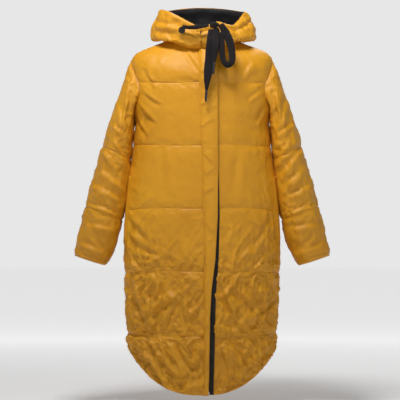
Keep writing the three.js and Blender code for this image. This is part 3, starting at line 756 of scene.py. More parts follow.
def fold_line(x, z, start, end, width, height):
    """A drawn fold across the front: one side stands and the other sinks, as where cloth laps over."""
    (x0, z0), (x1, z1) = start, end
    length = math.hypot(x1 - x0, z1 - z0)
    ux, uz = (x1 - x0) / length, (z1 - z0) / length
    along = ((x - x0) * ux + (z - z0) * uz) / length
    side = (x - x0) * -uz + (z - z0) * ux
    side = side + 0.12 * length * along * (1 - along)
    taper = np.clip(along * (1 - along) * 4, 0, 1) ** 0.7
    s = side / width
    return height * taper * s * np.exp(0.5 - s * s / 2)


def kept_out(points, rest, facing, most, tube=False):
    """Keeps the skin from sinking more than a depth below its plain shape, where the lining lies."""
    normal = outward(rest, facing, tube)
    depth = ((points - rest) * normal).sum(-1)
    return points + normal * np.maximum(0, -most - depth)[..., None]


def padded_piece(name, points, material, slot, nodes, body, tube=False, wall=1.2 * MM, facing=1):
    """The finished skin of a padded panel, with the thickness of its cloth."""
    obj, _ = mesh_grid(name, points, tube)
    normals = outward(points, facing, tube)
    row, column = points.shape[0] // 2, points.shape[1] // 2
    near = np.argmin(((vectors_of(obj.data, "co") - points[row, column]) ** 2).sum(1))
    if float(np.dot(vectors_of(obj.data, "normal")[near], normals[row, column])) < 0:
        obj.data.flip_normals()
        obj.data.update()
    solid = obj.modifiers.new("wall", "SOLIDIFY")
    solid.thickness = wall
    solid.offset = -1
    apply_modifiers(obj)
    finish_with(obj, material, slot, body, *nodes)
    print(name, len(obj.data.polygons), "faces")
    return obj


# %% [markdown]
# Quilting lines run level round the body. A panel's grid must have a row of points exactly on each line, so
# the height of a line is turned into a place between the pattern's rows, column by column.

# %% Body panel grids
QUILT_Z = [-0.138, -0.324, -0.510, -0.696, -0.888]
CELL = 0.0064 if SIMULATE else 0.011


def line_height(z, x):
    """Where a quilting line hangs: a little lower at the sides in the coat's middle, higher near the hem."""
    sag = 0.010 * ((z < -0.4) & (z > -0.8)) - 0.008 * (z < -0.8)
    return z - sag * (x / HIP_HALF) ** 2 + 0.0015 * math.sin(30 * x + 40 * z)


def body_grid(from_at, to_at, width, cell):
    columns = round(width / cell) + 1
    shares = np.linspace(0, 1, columns)
    fine_t = np.linspace(0, HEM_ROW, 521)
    marks = []
    for share in shares:
        column = body_points(mix(from_at(fine_t), to_at(fine_t), share), fine_t)
        fall = -np.minimum.accumulate(column[:, 2])
        lines = [float(np.interp(-line_height(z, float(column[200, 0])), fall, fine_t)) for z in QUILT_Z]
        marks.append([0.0] + lines + [float(HEM_ROW)])
    t, sewn = rows_between(marks, np.diff([0.0] + [-z for z in QUILT_Z] + [-HEM_Z]), cell)
    return body_points(mix(from_at(t), to_at(t), shares[None]), t), t, sewn


def distance_to_rows(points, rows):
    """The distance down the cloth from each point to the nearest of some rows."""
    down_cloth = run(points, 0)
    return np.min([np.abs(down_cloth - down_cloth[r]) for r in rows], axis=0)


# %% [markdown]
# The two fronts and the back. The upper body hangs smooth from the shoulders and the cloth has more slack the
# lower it lies, so the slack grows downwards. Beside a pocket it lies flat, so that the welt can sit on it.
# Folds that come from how a coat is worn and packed are drawn: drags at the armholes, and long
# slanting folds low on the fronts.

# %% Folds drawn
FRONT_FOLDS = [
    # start, end (x, z), width, height: the drags in front of the armholes
    ((-0.195, -0.150), (-0.120, -0.205), 0.007, 0.0035), ((-0.200, -0.185), (-0.135, -0.260), 0.007, 0.0035),
    ((-0.205, -0.215), (-0.160, -0.300), 0.006, 0.0030), ((-0.170, -0.090), (-0.140, -0.160), 0.008, 0.0025),
    ((0.200, -0.150), (0.135, -0.195), 0.007, 0.0030), ((0.205, -0.190), (0.160, -0.265), 0.006, 0.0035),
    ((0.150, -0.075), (0.120, -0.130), 0.009, 0.0020),
    # the slanting folds below the neck
    ((-0.050, -0.035), (0.000, -0.110), 0.008, 0.0030), ((-0.010, -0.030), (0.030, -0.120), 0.006, 0.0025),
    ((0.060, -0.060), (0.110, -0.045), 0.009, 0.0020),
    # the middle of the coat
    ((-0.110, -0.300), (-0.095, -0.480), 0.014, 0.0018), ((0.120, -0.330), (0.105, -0.500), 0.014, 0.0018),
    ((-0.225, -0.520), (-0.150, -0.610), 0.010, 0.0035), ((-0.220, -0.590), (-0.120, -0.650), 0.010, 0.0035),
    ((0.228, -0.540), (0.150, -0.640), 0.010, 0.0030),
    # low on the fronts
    ((0.045, -0.705), (0.110, -0.860), 0.008, 0.0055), ((0.140, -0.720), (0.215, -0.850), 0.011, 0.0050),
    ((0.080, -0.740), (0.165, -0.800), 0.010, 0.0040), ((0.225, -0.780), (0.150, -0.870), 0.010, 0.0045),
    ((-0.215, -0.715), (-0.160, -0.850), 0.011, 0.0050), ((-0.110, -0.700), (-0.120, -0.880), 0.008, 0.0035),
    ((-0.060, -0.720), (-0.045, -0.870), 0.008, 0.0035), ((-0.180, -0.830), (-0.060, -0.760), 0.010, 0.0040),
    ((-0.205, -0.905), (-0.120, -1.000), 0.009, 0.0050), ((-0.150, -0.905), (-0.060, -1.020), 0.009, 0.0050),
    ((-0.080, -0.900), (-0.020, -0.985), 0.008, 0.0045), ((0.060, -0.905), (0.085, -1.020), 0.009, 0.0050),
    ((0.120, -0.985), (0.205, -0.915), 0.010, 0.0050), ((0.100, -0.900), (0.150, -0.990), 0.009, 0.0045),
]
BACK_FOLDS = [
    ((-0.180, -0.180), (-0.090, -0.280), 0.010, 0.0035), ((0.180, -0.190), (0.095, -0.290), 0.010, 0.0035),
    ((-0.120, -0.520), (-0.040, -0.680), 0.011, 0.0035), ((0.130, -0.540), (0.030, -0.670), 0.011, 0.0035),
    ((-0.190, -0.720), (-0.110, -0.860), 0.011, 0.0045), ((0.190, -0.710), (0.100, -0.850), 0.011, 0.0045),
    ((0.000, -0.720), (0.060, -0.870), 0.010, 0.0040), ((-0.130, -0.900), (-0.050, -1.010), 0.010, 0.0045),
    ((0.140, -0.905), (0.060, -1.000), 0.010, 0.0045),
]


def body_wear(points, folds, seed):
    """How far the worn cloth of the body stands off its plain shape, in metres."""
    x, z = points[..., 0], points[..., 2]
    low = ease((-z - 0.42) / 0.40)
    side = ease((np.abs(x) - 0.10) / 0.10)
    height = sum(fold_line(x, z, a, b, 0.8 * wide, 1.2 * high) for a, b, wide, high in folds)
    lean = np.where(soft_noise(points / 0.16, seed + 1) > 0, 1, -1)
    slant = np.where(lean > 0, crumple(leaning(points, 0.7, 3.2), 0.023, seed, 3),
                     crumple(leaning(points, -0.6, 3.2), 0.025, seed + 9, 3))
    height = height + (0.0002 + 0.0048 * low + 0.0010 * side) * slant
    height += (0.0002 + 0.0024 * low) * crumple(leaning(points, 0.3, 1.5), 0.0105, seed + 30, 2)
    height += 0.0026 * soft_noise(leaning(points, 0.15, 4) / 0.05, seed + 40) * (0.35 + low)
    return height


# %% Body panels
# Across the front, in metres from the middle, at heights from the hem up: where the storm flap is sewn on,
# where it ends, and where the padding of the left front begins beside it.
LINE_Z = [-1.062, -1.030, -0.927, -0.822, -0.750, -0.663, -0.537, -0.450, -0.300, -0.050]
FLAP_SEAM = (LINE_Z, [0.004, 0.004, 0.005, 0.006, 0.006, 0.006, 0.004, 0.001, -0.003, -0.009])
FLAP_EDGE = (LINE_Z, [0.019, 0.0196, 0.0216, 0.0234, 0.0274, 0.0382, 0.045, 0.046, 0.046, 0.045])
OPENING_EDGE = (LINE_Z, [0.0295, 0.0297, 0.0330, 0.0348, 0.0376, 0.0446, 0.0475, 0.0462, 0.038, 0.036])
SPLIT_X = 0.018
SEAM_DEPTH = 0.0040
WELT_TURN, WELT_HALF = math.radians(76), math.radians(7)
WELT_ROWS, UNDER_WELT = (7.6, 10.4), 0.0025
MOST_SUNK = 0.0060
QUILT_DEPTH = 0.0022


def front_edge(t):
    return edge_angle(t, "front")


def back_edge(t):
    return edge_angle(t, "back")


def split_line(t):
    return split_angle(t, SPLIT_X)


def opening_line(t):
    """Where the padding of the left front begins, beside the flap."""
    t = np.asarray(t, float)
    return split_angle(t, np.interp(body_points(np.zeros_like(t), t)[..., 2], *OPENING_EDGE))


ARMHOLE_Z = SHOULDER_Z + (PIT_Z - SHOULDER_Z) / 2


def armhole_seam(points):
    """Points of the armhole, sunk towards its middle, where the cloth of body and sleeve meet."""
    inward = points * [0, 1, 1] - [0, 0, ARMHOLE_Z]
    return points - inward / np.linalg.norm(inward, axis=-1, keepdims=True) * SEAM_DEPTH


def side_seam(angle_at, t):
    """Where a panel's side edge is sewn: the armhole between shoulder and underarm, else side or shoulder."""
    edge = body_points(angle_at(t), t)
    straight = edge * [1 - SEAM_DEPTH / SHOULDER_HALF, 1, 1] - [0, 0, SEAM_DEPTH * 0.5]
    at_hole = ((t > TIP_ROW) & (t < PIT_ROW))[:, None]
    return np.where(at_hole, armhole_seam(edge), straight)


BODY_PANELS = {
    "front_left": (opening_line, front_edge, 0.29, 11, 1.0, FRONT_FOLDS),
    "front_right": (lambda t: -front_edge(t), split_line, 0.33, 23, 1.0, FRONT_FOLDS),
    "back": (lambda t: math.pi - back_edge(t), lambda t: math.pi + back_edge(t), 0.62, 37, 1.25, BACK_FOLDS),
}


def body_panel(name, from_at, to_at, width, seed, coarse, folds):
    plain, t, sewn = body_grid(from_at, to_at, width, CELL * coarse)
    facing = facing_out(plain)
    normals = outward(plain, facing)
    line = distance_to_rows(plain, sewn)
    across = run(plain, 1)
    edge = np.minimum(across, across[:, -1:] - across)
    edge = np.minimum(edge, distance_to_rows(plain, [0, len(plain) - 1]))
    low = ease((-plain[..., 2] - 0.35) / 0.5)
    seedling = 0.0012 * soft_noise(plain / 0.02, seed) + 0.002 * low * crumple(plain, 0.035, seed + 3, 2)
    start, pins = about_to_swell(plain, normals, seedling, line, edge, QUILT_DEPTH)
    slack = np.clip(0.15 + 0.75 * low + 0.3 * soft_noise(plain / 0.08, seed + 5), 0.02, 1)
    settled = inflate(name, start, pins, slack, 1.3, 0.009, facing=facing)
    fine, rest, row_places = doubled(settled), doubled(plain), doubled(t)
    left_t, right_t = finer(t, 0)[:, 0], finer(t, 0)[:, -1]
    line = distance_to_rows(rest, [2 * r for r in sewn])
    along = run(rest, 1)
    hem = distance_to_rows(rest, [len(rest) - 1])
    calm = ease(line / 0.012) * ease(hem / 0.01)
    from_side = along[:, -1:] - along if name == "front_left" else along
    if name == "back":
        from_side = np.minimum(from_side, from_side[:, -1:] - from_side)
    at_opening = along if name == "front_left" else np.full_like(along, 1.0)
    calm = calm * ease(at_opening / 0.010 + 0.1)
    height = body_wear(rest, folds, seed) * (0.2 + 0.8 * calm) * (1 - 0.8 * np.exp(-(from_side / 0.045) ** 2))
    height += groove(line) + puckers(line, along, seed + 60)
    hem_line = np.abs(hem - 0.016)
    height += groove(hem_line, 1.2 * MM) + puckers(hem_line, along, seed + 70, 1.2 * MM)
    if name != "back":
        rows = smooth(BODY_ROWS, row_places)
        turn = np.abs(np.arctan2(rest[..., 0] / rows[..., 0], -rest[..., 1] / rows[..., 2]))
        at_welt = np.exp(-((turn - WELT_TURN) / WELT_HALF) ** 4)
        at_welt = at_welt * ease((row_places - WELT_ROWS[0]) * 3) * ease((WELT_ROWS[1] - row_places) * 3)
        fine = mix(fine, rest + outward(rest, facing) * UNDER_WELT, at_welt[..., None])
        height = height * (1 - 0.9 * at_welt)
    fine = kept_out(fine + outward(fine, facing) * height[..., None], rest, facing, MOST_SUNK)
    if name == "front_right":
        under_flap = ease((rest[..., 0] - np.interp(rest[..., 2], *FLAP_SEAM) - 0.002) / 0.010)
        fine = mix(fine, rest + outward(rest, facing) * 0.0004, under_flap[..., None])
    if name != "front_left":
        draw_in(fine, "left", side_seam(from_at, left_t))
    if name != "front_right":
        draw_in(fine, "right", side_seam(to_at, right_t))
    draw_in(fine, "top", rest[0] - outward(rest, facing)[0] * SEAM_DEPTH)
    padded_piece(name + "_quilt", fine, SHELL_CLOTH, "shell_cloth", [name + "_shell", name + "_wadding"],
                 "coat_body", facing=facing)
    inside = plain[::2, ::2] if SIMULATE else plain
    inside = inside - outward(inside, facing) * (0.0128 + 0.0008 * soft_noise(inside / 0.05, seed))[..., None]
    padded_piece(name + "_inside", inside, LINING_CLOTH, "lining_cloth", [name + "_lining"], "coat_body",
                 wall=0.8 * MM, facing=-facing)


for name, pattern in BODY_PANELS.items():
    body_panel(name, *pattern)

# %% [markdown]
# A sleeve is a tube set into the armhole. Its outer edge bows out from the shoulder and its inner edge lies
# beside the body, so each station along it is two edges and a depth. The arm's bend crowds the cloth on the
# inside of the elbow, which is where the crescent folds are, and the cloth above the elbow drags towards the
# underarm.

# %% The pattern of the sleeves
SLEEVE_LENGTH, SLEEVE_SPREAD, SLEEVE_BOW, CUFF_SLANT = 0.640, 0.181, 0.28, 0.038
SLEEVE_STATIONS = np.array([
    # share of the outer edge, inner edge x and z, half depth
    [0.00, 0.2030, -0.2520, 0.063], [0.13, 0.2090, -0.2760, 0.072], [0.28, 0.2140, -0.3300, 0.076],
    [0.44, 0.2170, -0.3840, 0.075], [0.60, 0.2244, -0.4580, 0.070], [0.73, 0.2330, -0.5280, 0.066],
    [0.85, 0.2480, -0.5960, 0.061], [0.94, 0.2640, -0.6420, 0.055], [1.00, 0.2860, -0.6840, 0.049],
])
SLEEVE_GAP = 1.1 * MM
LAST_STATION = len(SLEEVE_STATIONS) - 1


def armhole_loop(turn):
    """The armhole as a closed line: 0 at the shoulder tip, a quarter at the front, a half at the underarm."""
    turn = turn % 1
    at_front = turn <= 0.5
    t = TIP_ROW + (PIT_ROW - TIP_ROW) * 2 * np.where(at_front, turn, 1 - turn)
    angle = np.where(at_front, front_edge(t), math.pi - back_edge(t))
    return body_points(angle, t)


def sleeve_points(turn, station):
    turn, station = np.broadcast_arrays(turn, station)
    share, in_x, in_z, depth = np.moveaxis(smooth(SLEEVE_STATIONS, station), -1, 0)
    out_x = SHOULDER_HALF + SLEEVE_SPREAD * ((1 + SLEEVE_BOW) * share - SLEEVE_BOW * share ** 2)
    out_z = SHOULDER_Z - (SLEEVE_LENGTH - CUFF_SLANT) * share
    c, s = np.cos(turn * math.tau), np.sin(turn * math.tau)

    def ellipse(ox, oz, ix, iz, d):
        return np.stack([(ox + ix) / 2 + (ox - ix) / 2 * c, -d * s, (oz + iz) / 2 + (oz - iz) / 2 * c], -1)

    first = SLEEVE_STATIONS[0]
    head = ellipse(SHOULDER_HALF, SHOULDER_Z, first[1], first[2], first[3])
    blend = np.clip(1 - station, 0, 1)[..., None] ** 1.5
    points = ellipse(out_x, out_z, in_x, in_z, depth) + (armhole_loop(turn) - head) * blend
    return points + [SLEEVE_GAP, 0, 0]


SLEEVE_LINES = [-0.345, -0.525]
SLEEVE_BANDS = (0.27, 0.19, 0.15)
SLEEVE_FOLDS = [
    # drags below the armhole, at the front
    ((0.215, -0.150), (0.232, -0.260), 0.007, 0.0050), ((0.235, -0.205), (0.222, -0.330), 0.007, 0.0050),
    ((0.255, -0.180), (0.235, -0.290), 0.008, 0.0040), ((0.262, -0.300), (0.222, -0.385), 0.008, 0.0050),
    ((0.300, -0.330), (0.232, -0.425), 0.009, 0.0045), ((0.275, -0.255), (0.225, -0.300), 0.008, 0.0045),
    # crescents inside the elbow
    ((0.330, -0.440), (0.240, -0.490), 0.009, 0.0055), ((0.350, -0.500), (0.245, -0.530), 0.009, 0.0060),
    ((0.345, -0.560), (0.255, -0.575), 0.008, 0.0050), ((0.300, -0.400), (0.228, -0.460), 0.008, 0.0050),
    # above the cuff
    ((0.370, -0.615), (0.290, -0.645), 0.008, 0.0045), ((0.340, -0.590), (0.280, -0.655), 0.008, 0.0035),
]


def sleeve_grid(cell):
    columns = round(0.47 / cell)
    turns = np.linspace(0, 1, columns + 1)
    fine = np.linspace(0, LAST_STATION, 401)
    marks = []
    for turn in turns:
        fall = -np.minimum.accumulate(sleeve_points(np.full_like(fine, turn), fine)[:, 2])
        lean = 0.020 * math.cos(turn * math.tau)
        lines = [float(np.interp(-(z + lean), fall, fine)) for z in SLEEVE_LINES]
        marks.append([0.0] + lines + [float(LAST_STATION)])
    t, sewn = rows_between(marks, SLEEVE_BANDS, cell)
    return sleeve_points(turns[None], t), sewn


def sleeve_wear(points, seed):
    x, y, z = np.moveaxis(points, -1, 0)
    front = ease(0.5 - y / 0.06)
    height = sum(fold_line(x, z, a, b, 0.75 * wide, 0.75 * high) for a, b, wide, high in SLEEVE_FOLDS)
    height = height * mix(0.45, 1, front)
    inner = ease(1 - (x - 0.20) / (0.03 + 0.16 * np.clip((-z - 0.1) / 0.6, 0, 1)))
    elbow = np.exp(-((z + 0.47) / 0.11) ** 2)
    busy = np.clip(0.15 + 0.6 * inner + 0.5 * elbow, 0, 1)
    height = height + 0.0024 * busy * crumple(leaning(points, -0.9, 2.6), 0.024, seed, 3)
    height += 0.0015 * busy * crumple(leaning(points, -0.6, 1.6), 0.013, seed + 4, 2)
    return height + 0.0010 * soft_noise(points / 0.06, seed + 8)


# %% Sleeves
def sleeve(side, sign, seed):
    plain, sewn = sleeve_grid(CELL * 1.12)
    facing = facing_out(plain, True)
    normals = outward(plain, facing, True)
    line = distance_to_rows(plain, sewn)
    ends = distance_to_rows(plain, [0, len(plain) - 1])
    seedling = 0.0015 * soft_noise(plain / 0.025, seed) + 0.002 * crumple(plain, 0.035, seed + 3, 2)
    start, pins = about_to_swell(plain, normals, seedling, line, ends, 0.7 * QUILT_DEPTH)
    slack = np.clip(0.35 + 0.3 * soft_noise(plain / 0.08, seed + 5), 0.02, 1)
    settled = inflate("sleeve_" + side, start, pins, slack, 0.5, 0.0035, tube=True, facing=facing)
    fine, rest = doubled(settled, True), doubled(plain, True)
    line = distance_to_rows(rest, [2 * r for r in sewn])
    along = run(rest, 1)
    cuff = distance_to_rows(rest, [len(rest) - 1])
    height = sleeve_wear(rest, seed) * (0.3 + 0.7 * ease(line / 0.012) * ease(cuff / 0.02))
    under = np.clip(-np.cos(np.linspace(0, math.tau, rest.shape[1])), 0, 1)[None] ** 2
    height = height * (1 - 0.85 * under) + 0.006 * under * ease((rest[..., 2] + 0.56) / 0.12)
    height += groove(line) + puckers(line, along, seed + 60)
    height += groove(np.abs(cuff - 0.012), 1.4 * MM) + puckers(np.abs(cuff - 0.006), along, seed + 70, 1.8 * MM)
    height -= 0.004 * np.exp(-(cuff / 0.006) ** 2)
    fine = kept_out(fine + outward(fine, facing, True) * height[..., None], rest, facing, MOST_SUNK, True)
    draw_in(fine, "top", armhole_seam(armhole_loop(np.linspace(0, 1, fine.shape[1]))) + [0.0006, 0, 0])
    fine[:, -1] = fine[:, 0]
    mirror = np.array([sign, 1, 1])
    quilt = padded_piece(f"sleeve_{side}_quilt", fine * mirror, SHELL_CLOTH, "shell_cloth",
                         [f"sleeve_{side}_shell", f"sleeve_{side}_wadding"], None, True, facing=facing * sign)
    inside = plain[::2, ::2] if SIMULATE and plain.shape[1] % 2 else plain
    wall = outward(inside, facing, True)
    lining = (inside - wall * 0.0125) * mirror
    inner = padded_piece(f"sleeve_{side}_inside", lining, LINING_CLOTH, "lining_cloth",
                         [f"sleeve_{side}_lining"], None, True, 0.8 * MM, facing=-facing * sign)
    rows = distance_to_rows(inside, [len(inside) - 1])[:, 0]
    band = inside[rows < 0.062]
    hem = (band - outward(band, facing, True) * 0.0148) * mirror
    cuff_band = padded_piece(f"cuff_{side}_facing", hem, LINING_CLOTH, "lining_cloth",
                             [f"cuff_facing_{side}"], None, True, 0.9 * MM, facing=-facing * sign)
    for obj in (quilt, inner):
        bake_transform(obj)
    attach(cuff_band, f"sleeve_{side}")


sleeve("left", 1, 51)
sleeve("right", -1, 67)

# %% [markdown]
# The hood lies open round the neck. Its front is a padded roll that leaves the neck seam, swells over the
# shoulders and comes up to the rim, where a sewn channel carries the cord. In front the rim dips to the
# throat and the two lapels stand apart there, so the rim's height follows its own line across the front.

# %% The hood's roll
THROAT = math.radians(0.9)
ROLL_ROWS = np.array([
    # half width, height at the sides, depth and height at the front, depth and height at the back
    [0.073, 0.006, 0.080, -0.024, 0.0615, 0.012], [0.118, -0.003, 0.094, -0.026, 0.074, 0.020],
    [0.150, -0.008, 0.103, -0.018, 0.086, 0.034], [0.151, 0.020, 0.105, -0.003, 0.088, 0.058],
    [0.142, 0.050, 0.102, 0.010, 0.083, 0.080], [0.128, 0.080, 0.098, 0.024, 0.074, 0.098],
])
RIM_X = [-0.128, -0.100, -0.060, -0.024, -0.008, 0.008, 0.030, 0.047, 0.072, 0.090, 0.108, 0.128]
RIM_RISE = [0.086, 0.076, 0.054, 0.035, 0.026, 0.030, 0.040, 0.044, 0.037, 0.035, 0.054, 0.081]


def roll_points(angle, v):
    angle, v = np.broadcast_arrays(angle, v)
    rows = smooth(ROLL_ROWS, v * (len(ROLL_ROWS) - 1))
    points = ring_points(rows, angle, 2)
    in_front = np.cos(angle) > 0
    rim = ROLL_ROWS[-1]
    rise = np.interp(points[..., 0] * rim[0] / rows[..., 0], RIM_X, RIM_RISE)
    plain = rim[3] + (rim[1] - rim[3]) * np.sin(angle) ** 2
    points[..., 2] += np.where(in_front, (rise - plain) * v ** 2.2, 0)
    return points


ROLL_FOLDS = [
    ((-0.150, 0.030), (-0.060, 0.012), 0.010, 0.0060), ((-0.140, 0.055), (-0.075, 0.035), 0.009, 0.0045),
    ((-0.070, 0.000), (-0.015, -0.012), 0.007, 0.0035), ((0.148, 0.040), (0.095, 0.004), 0.009, 0.0055),
    ((0.150, 0.018), (0.100, -0.005), 0.009, 0.0045), ((0.135, 0.066), (0.100, 0.030), 0.008, 0.0040),
    ((0.060, 0.022), (0.100, -0.002), 0.007, 0.0035), ((-0.110, 0.070), (-0.060, 0.040), 0.007, 0.0030),
]


def hood_roll():
    columns, rows = round(0.80 / CELL), round(0.13 / CELL) // 2 * 2
    angles = np.linspace(-7 * THROAT, math.tau - THROAT, columns + 1)
    vs = np.linspace(0, 1, rows + 1)
    plain = roll_points(angles[None], vs[:, None])
    facing = facing_out(plain)
    normals = outward(plain, facing)
    channel = round(rows * 0.80)
    line = distance_to_rows(plain, [channel])
    edge = distance_to_rows(plain, [0, rows])
    across = run(plain, 1)
    edge = np.minimum(edge, np.minimum(across, across[:, -1:] - across))
    start = plain + normals * (0.002 * soft_noise(plain / 0.03, 5) * ease(edge / 0.015)
                               - 0.003 * np.exp(-(line / 0.01) ** 2))[..., None]
    pins = np.maximum(line < 1e-5, edge < 1e-5).astype(float)
    slack = np.clip(0.7 + 0.4 * soft_noise(plain / 0.05, 8), 0.1, 1)
    settled = inflate("hood_roll", start, pins, slack, 1.4, 0.006, facing=facing)
    fine, rest = doubled(settled), doubled(plain)
    line = distance_to_rows(rest, [2 * channel])
    rim = distance_to_rows(rest, [len(rest) - 1])
    across = run(rest, 1)
    x, y, z = np.moveaxis(rest, -1, 0)
    height = sum(fold_line(x, z, *fold) for fold in ROLL_FOLDS) * (y < 0)
    height = height + 0.0026 * crumple(leaning(rest, 0.5, 2), 0.026, 77, 3) * ease(rim / 0.02)
    height += groove(line, 1.4 * MM) + puckers(line, across, 81, 1.2 * MM)
    height -= 0.003 * np.exp(-(rim / 0.004) ** 2)
    fine = fine + outward(fine, facing) * height[..., None]
    fine[..., 0] *= np.where(fine[..., 0] > 0, 1.04, 1)
    neck = body_points(np.linspace(-7 * THROAT, math.tau - THROAT, fine.shape[1]), 0.36)
    draw_in(fine, "top", neck - [0, 0, 0.004], 0.022)
    fine[:, :10, 1] += np.linspace(0.004, 0, 10)
    padded_piece("hood_roll_quilt", fine, SHELL_CLOTH, "shell_cloth", ["hood_roll_shell", "hood_roll_wadding"],
                 "coat_body", facing=facing)
    inside = plain - normals * 0.0112 * ease(0.35 + edge / 0.02)[..., None]
    inside = inside - normals * (0.0012 * crumple(plain, 0.04, 90, 2) * ease(edge / 0.02))[..., None]
    draw_in(inside, "top", body_points(angles, 0.0) * [0.83, 0.83, 1] - [0, 0, 0.004], 0.016)
    padded_piece("hood_roll_inside", inside, LINING_CLOTH, "lining_cloth", ["hood_roll_lining"], "coat_body",
                 wall=0.8 * MM, facing=-facing)


hood_roll()

# %% [markdown]
# Behind the neck hangs the bag of the hood, a deep pocket of padded cloth that would go over the head. It is
# a closed tube that narrows to its bottom, and a seam runs down its middle.

# %% The hood's bag
BAG_MOUTH_Y, BAG_MOUTH_Z, BAG_HALF, BAG_THICK, BAG_DEPTH = 0.138, 0.046, 0.112, 0.084, 0.213
BAG_ROWS = np.array([
    [1.00, 1.00, 0.000, 0.00], [1.05, 1.08, 0.005, 0.24], [0.97, 1.02, 0.008, 0.52],
    [0.70, 0.78, 0.011, 0.80], [0.30, 0.36, 0.012, 0.96], [0.03, 0.04, 0.012, 1.00],
])


def bag_points(turn, row):
    turn, row = np.broadcast_arrays(turn, row)
    half, thick, back, fall = np.moveaxis(smooth(BAG_ROWS, row), -1, 0)
    s, c = np.sin(turn * math.tau), np.cos(turn * math.tau)
    x, y = BAG_HALF * half * s, BAG_MOUTH_Y + back - BAG_THICK / 2 * thick * c
    at_roll = 0.096 * np.sqrt(1 - (x / 0.160) ** 2)
    near_mouth = np.clip(1 - row / 1.8, 0, 1) ** 1.3
    y = mix(y, at_roll, np.clip(c + 0.35, 0, 1) * near_mouth)
    rise = (0.036 * np.clip(c, 0, 1) + 0.010) * near_mouth
    return np.stack([x, y, BAG_MOUTH_Z - BAG_DEPTH * fall + rise], -1)


def hood_bag():
    columns, rows = round(0.62 / CELL), round(0.26 / CELL)
    turns, t = np.linspace(0, 1, columns + 1), np.linspace(0, len(BAG_ROWS) - 1, rows + 1)
    plain = bag_points(turns[None], t[:, None])
    facing = facing_out(plain, True)
    normals = outward(plain, facing, True)
    mouth = distance_to_rows(plain, [0])
    seam = np.abs(plain[..., 0]) * np.where(plain[..., 1] > BAG_MOUTH_Y, 1, 9) + 1e-6
    start = plain + normals * (0.002 * soft_noise(plain / 0.03, 15)
                               - 0.003 * np.exp(-(seam / 0.012) ** 2))[..., None]
    pins = np.maximum(mouth < 1e-5, t[:, None] > len(BAG_ROWS) - 1.2).astype(float)
    pins = np.maximum(pins, (seam < CELL * 0.55).astype(float))
    slack = np.clip(0.6 + 0.4 * soft_noise(plain / 0.05, 18), 0.1, 1)
    settled = inflate("hood_bag", start, pins, slack, 2.2, 0.012, tube=True, facing=facing)
    fine, rest = doubled(settled, True), doubled(plain, True)
    seam = np.abs(rest[..., 0]) * np.where(rest[..., 1] > BAG_MOUTH_Y, 1, 9)
    height = 0.0026 * crumple(leaning(rest, 0.4, 2), 0.034, 92, 3)
    height += groove(seam, 1.5 * MM) + puckers(seam, run(rest, 0), 93, 1.2 * MM)
    fade = ease(distance_to_rows(rest, [len(rest) - 1]) / 0.03)
    fine = fine + outward(fine, facing, True) * (height * fade)[..., None]
    fine[:, -1] = fine[:, 0]
    quilt = padded_piece("hood_bag_quilt", fine, SHELL_CLOTH, "shell_cloth",
                         ["hood_bag_shell", "hood_bag_wadding"], None, True, facing=facing)
    inside = plain - normals * 0.0112
    inner = padded_piece("hood_bag_inside", inside[:-2], LINING_CLOTH, "lining_cloth",
                         ["hood_bag_lining"], None, True, 0.8 * MM, facing=-facing)
    for obj in (quilt, inner):
        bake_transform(obj)


hood_bag()

# %% [markdown]
# The storm flap is a narrow padded strip sewn to the right front. It covers the zip and closes over the left
# front. Its section is drawn once, from the stitches over the padding, round the free edge and back
# underneath, and carried down the front. The top is held under the hood and the rest swings, so the strip is
# cut in two pieces that share an edge.

# %% Storm flap
FLAP_SECTION = np.array([
    # share of the flap's width, height over the front in millimetres
    [-0.03, 1.0], [0.03, 4.0], [0.12, 7.6], [0.28, 10.6], [0.46, 12.0], [0.66, 12.4],
    [0.84, 11.8], [0.95, 10.4], [1.00, 9.0], [0.985, 8.0], [0.90, 7.8], [0.74, 7.8],
])
FLAP_TOP_ROW, FLAP_SPLIT_ROW = 0.35, 5.0
STITCH_INSET = 0.0035
# the lining under the flap: shares of its width, and heights over the front in millimetres
UNDER_PLACES = np.array([0.13, 0.21, 0.33, 0.65, 0.94])
UNDER_LIFTS = np.array([1.8, 4.0, 7.3, 7.5, 7.5])
FLAP_FOLDS = [
    ((0.010, -0.140), (0.040, -0.100), 0.006, 0.0025), ((0.000, -0.210), (0.038, -0.180), 0.006, 0.0022),
    ((-0.002, -0.275), (0.030, -0.250), 0.006, 0.0026), ((0.002, -0.350), (0.040, -0.385), 0.006, 0.0028),
    ((0.004, -0.420), (0.040, -0.395), 0.006, 0.0028), ((0.006, -0.470), (0.036, -0.450), 0.006, 0.0026),
    ((0.006, -0.555), (0.040, -0.590), 0.006, 0.0028), ((0.008, -0.620), (0.036, -0.600), 0.006, 0.0025),
    ((0.006, -0.740), (0.022, -0.720), 0.006, 0.0022), ((0.006, -0.800), (0.022, -0.830), 0.006, 0.0022),
    ((0.004, -0.870), (0.020, -0.850), 0.005, 0.0022), ((0.004, -0.960), (0.019, -0.980), 0.005, 0.0022),
]


def front_points(x, t, lift):
    """Points at a distance x from the middle and at a height over the front."""
    x, t, lift = np.broadcast_arrays(x, t, lift)
    angle = split_angle(t, x)
    step = 1e-3
    across = body_points(angle + step, t) - body_points(angle - step, t)
    along = body_points(angle, t + step) - body_points(angle, t - step)
    normal = np.cross(across, along)
    normal /= np.linalg.norm(normal, axis=-1, keepdims=True)
    normal *= np.sign(-normal[..., 1:2])
    return body_points(angle, t) + normal * lift[..., None]


def row_at(z):
    t = np.linspace(0, HEM_ROW, 600)
    return np.interp(-np.asarray(z), -body_points(np.zeros_like(t), t)[:, 2], t)


def flap_grid(t, share, height_mm):
    z = body_points(np.zeros_like(t), t)[:, 2]
    seam, edge = np.interp(z, *FLAP_SEAM), np.interp(z, *FLAP_EDGE)
    x = seam[:, None] + (edge - seam)[:, None] * share[None]
    return front_points(x, t[:, None], np.broadcast_to(height_mm * MM, x.shape))


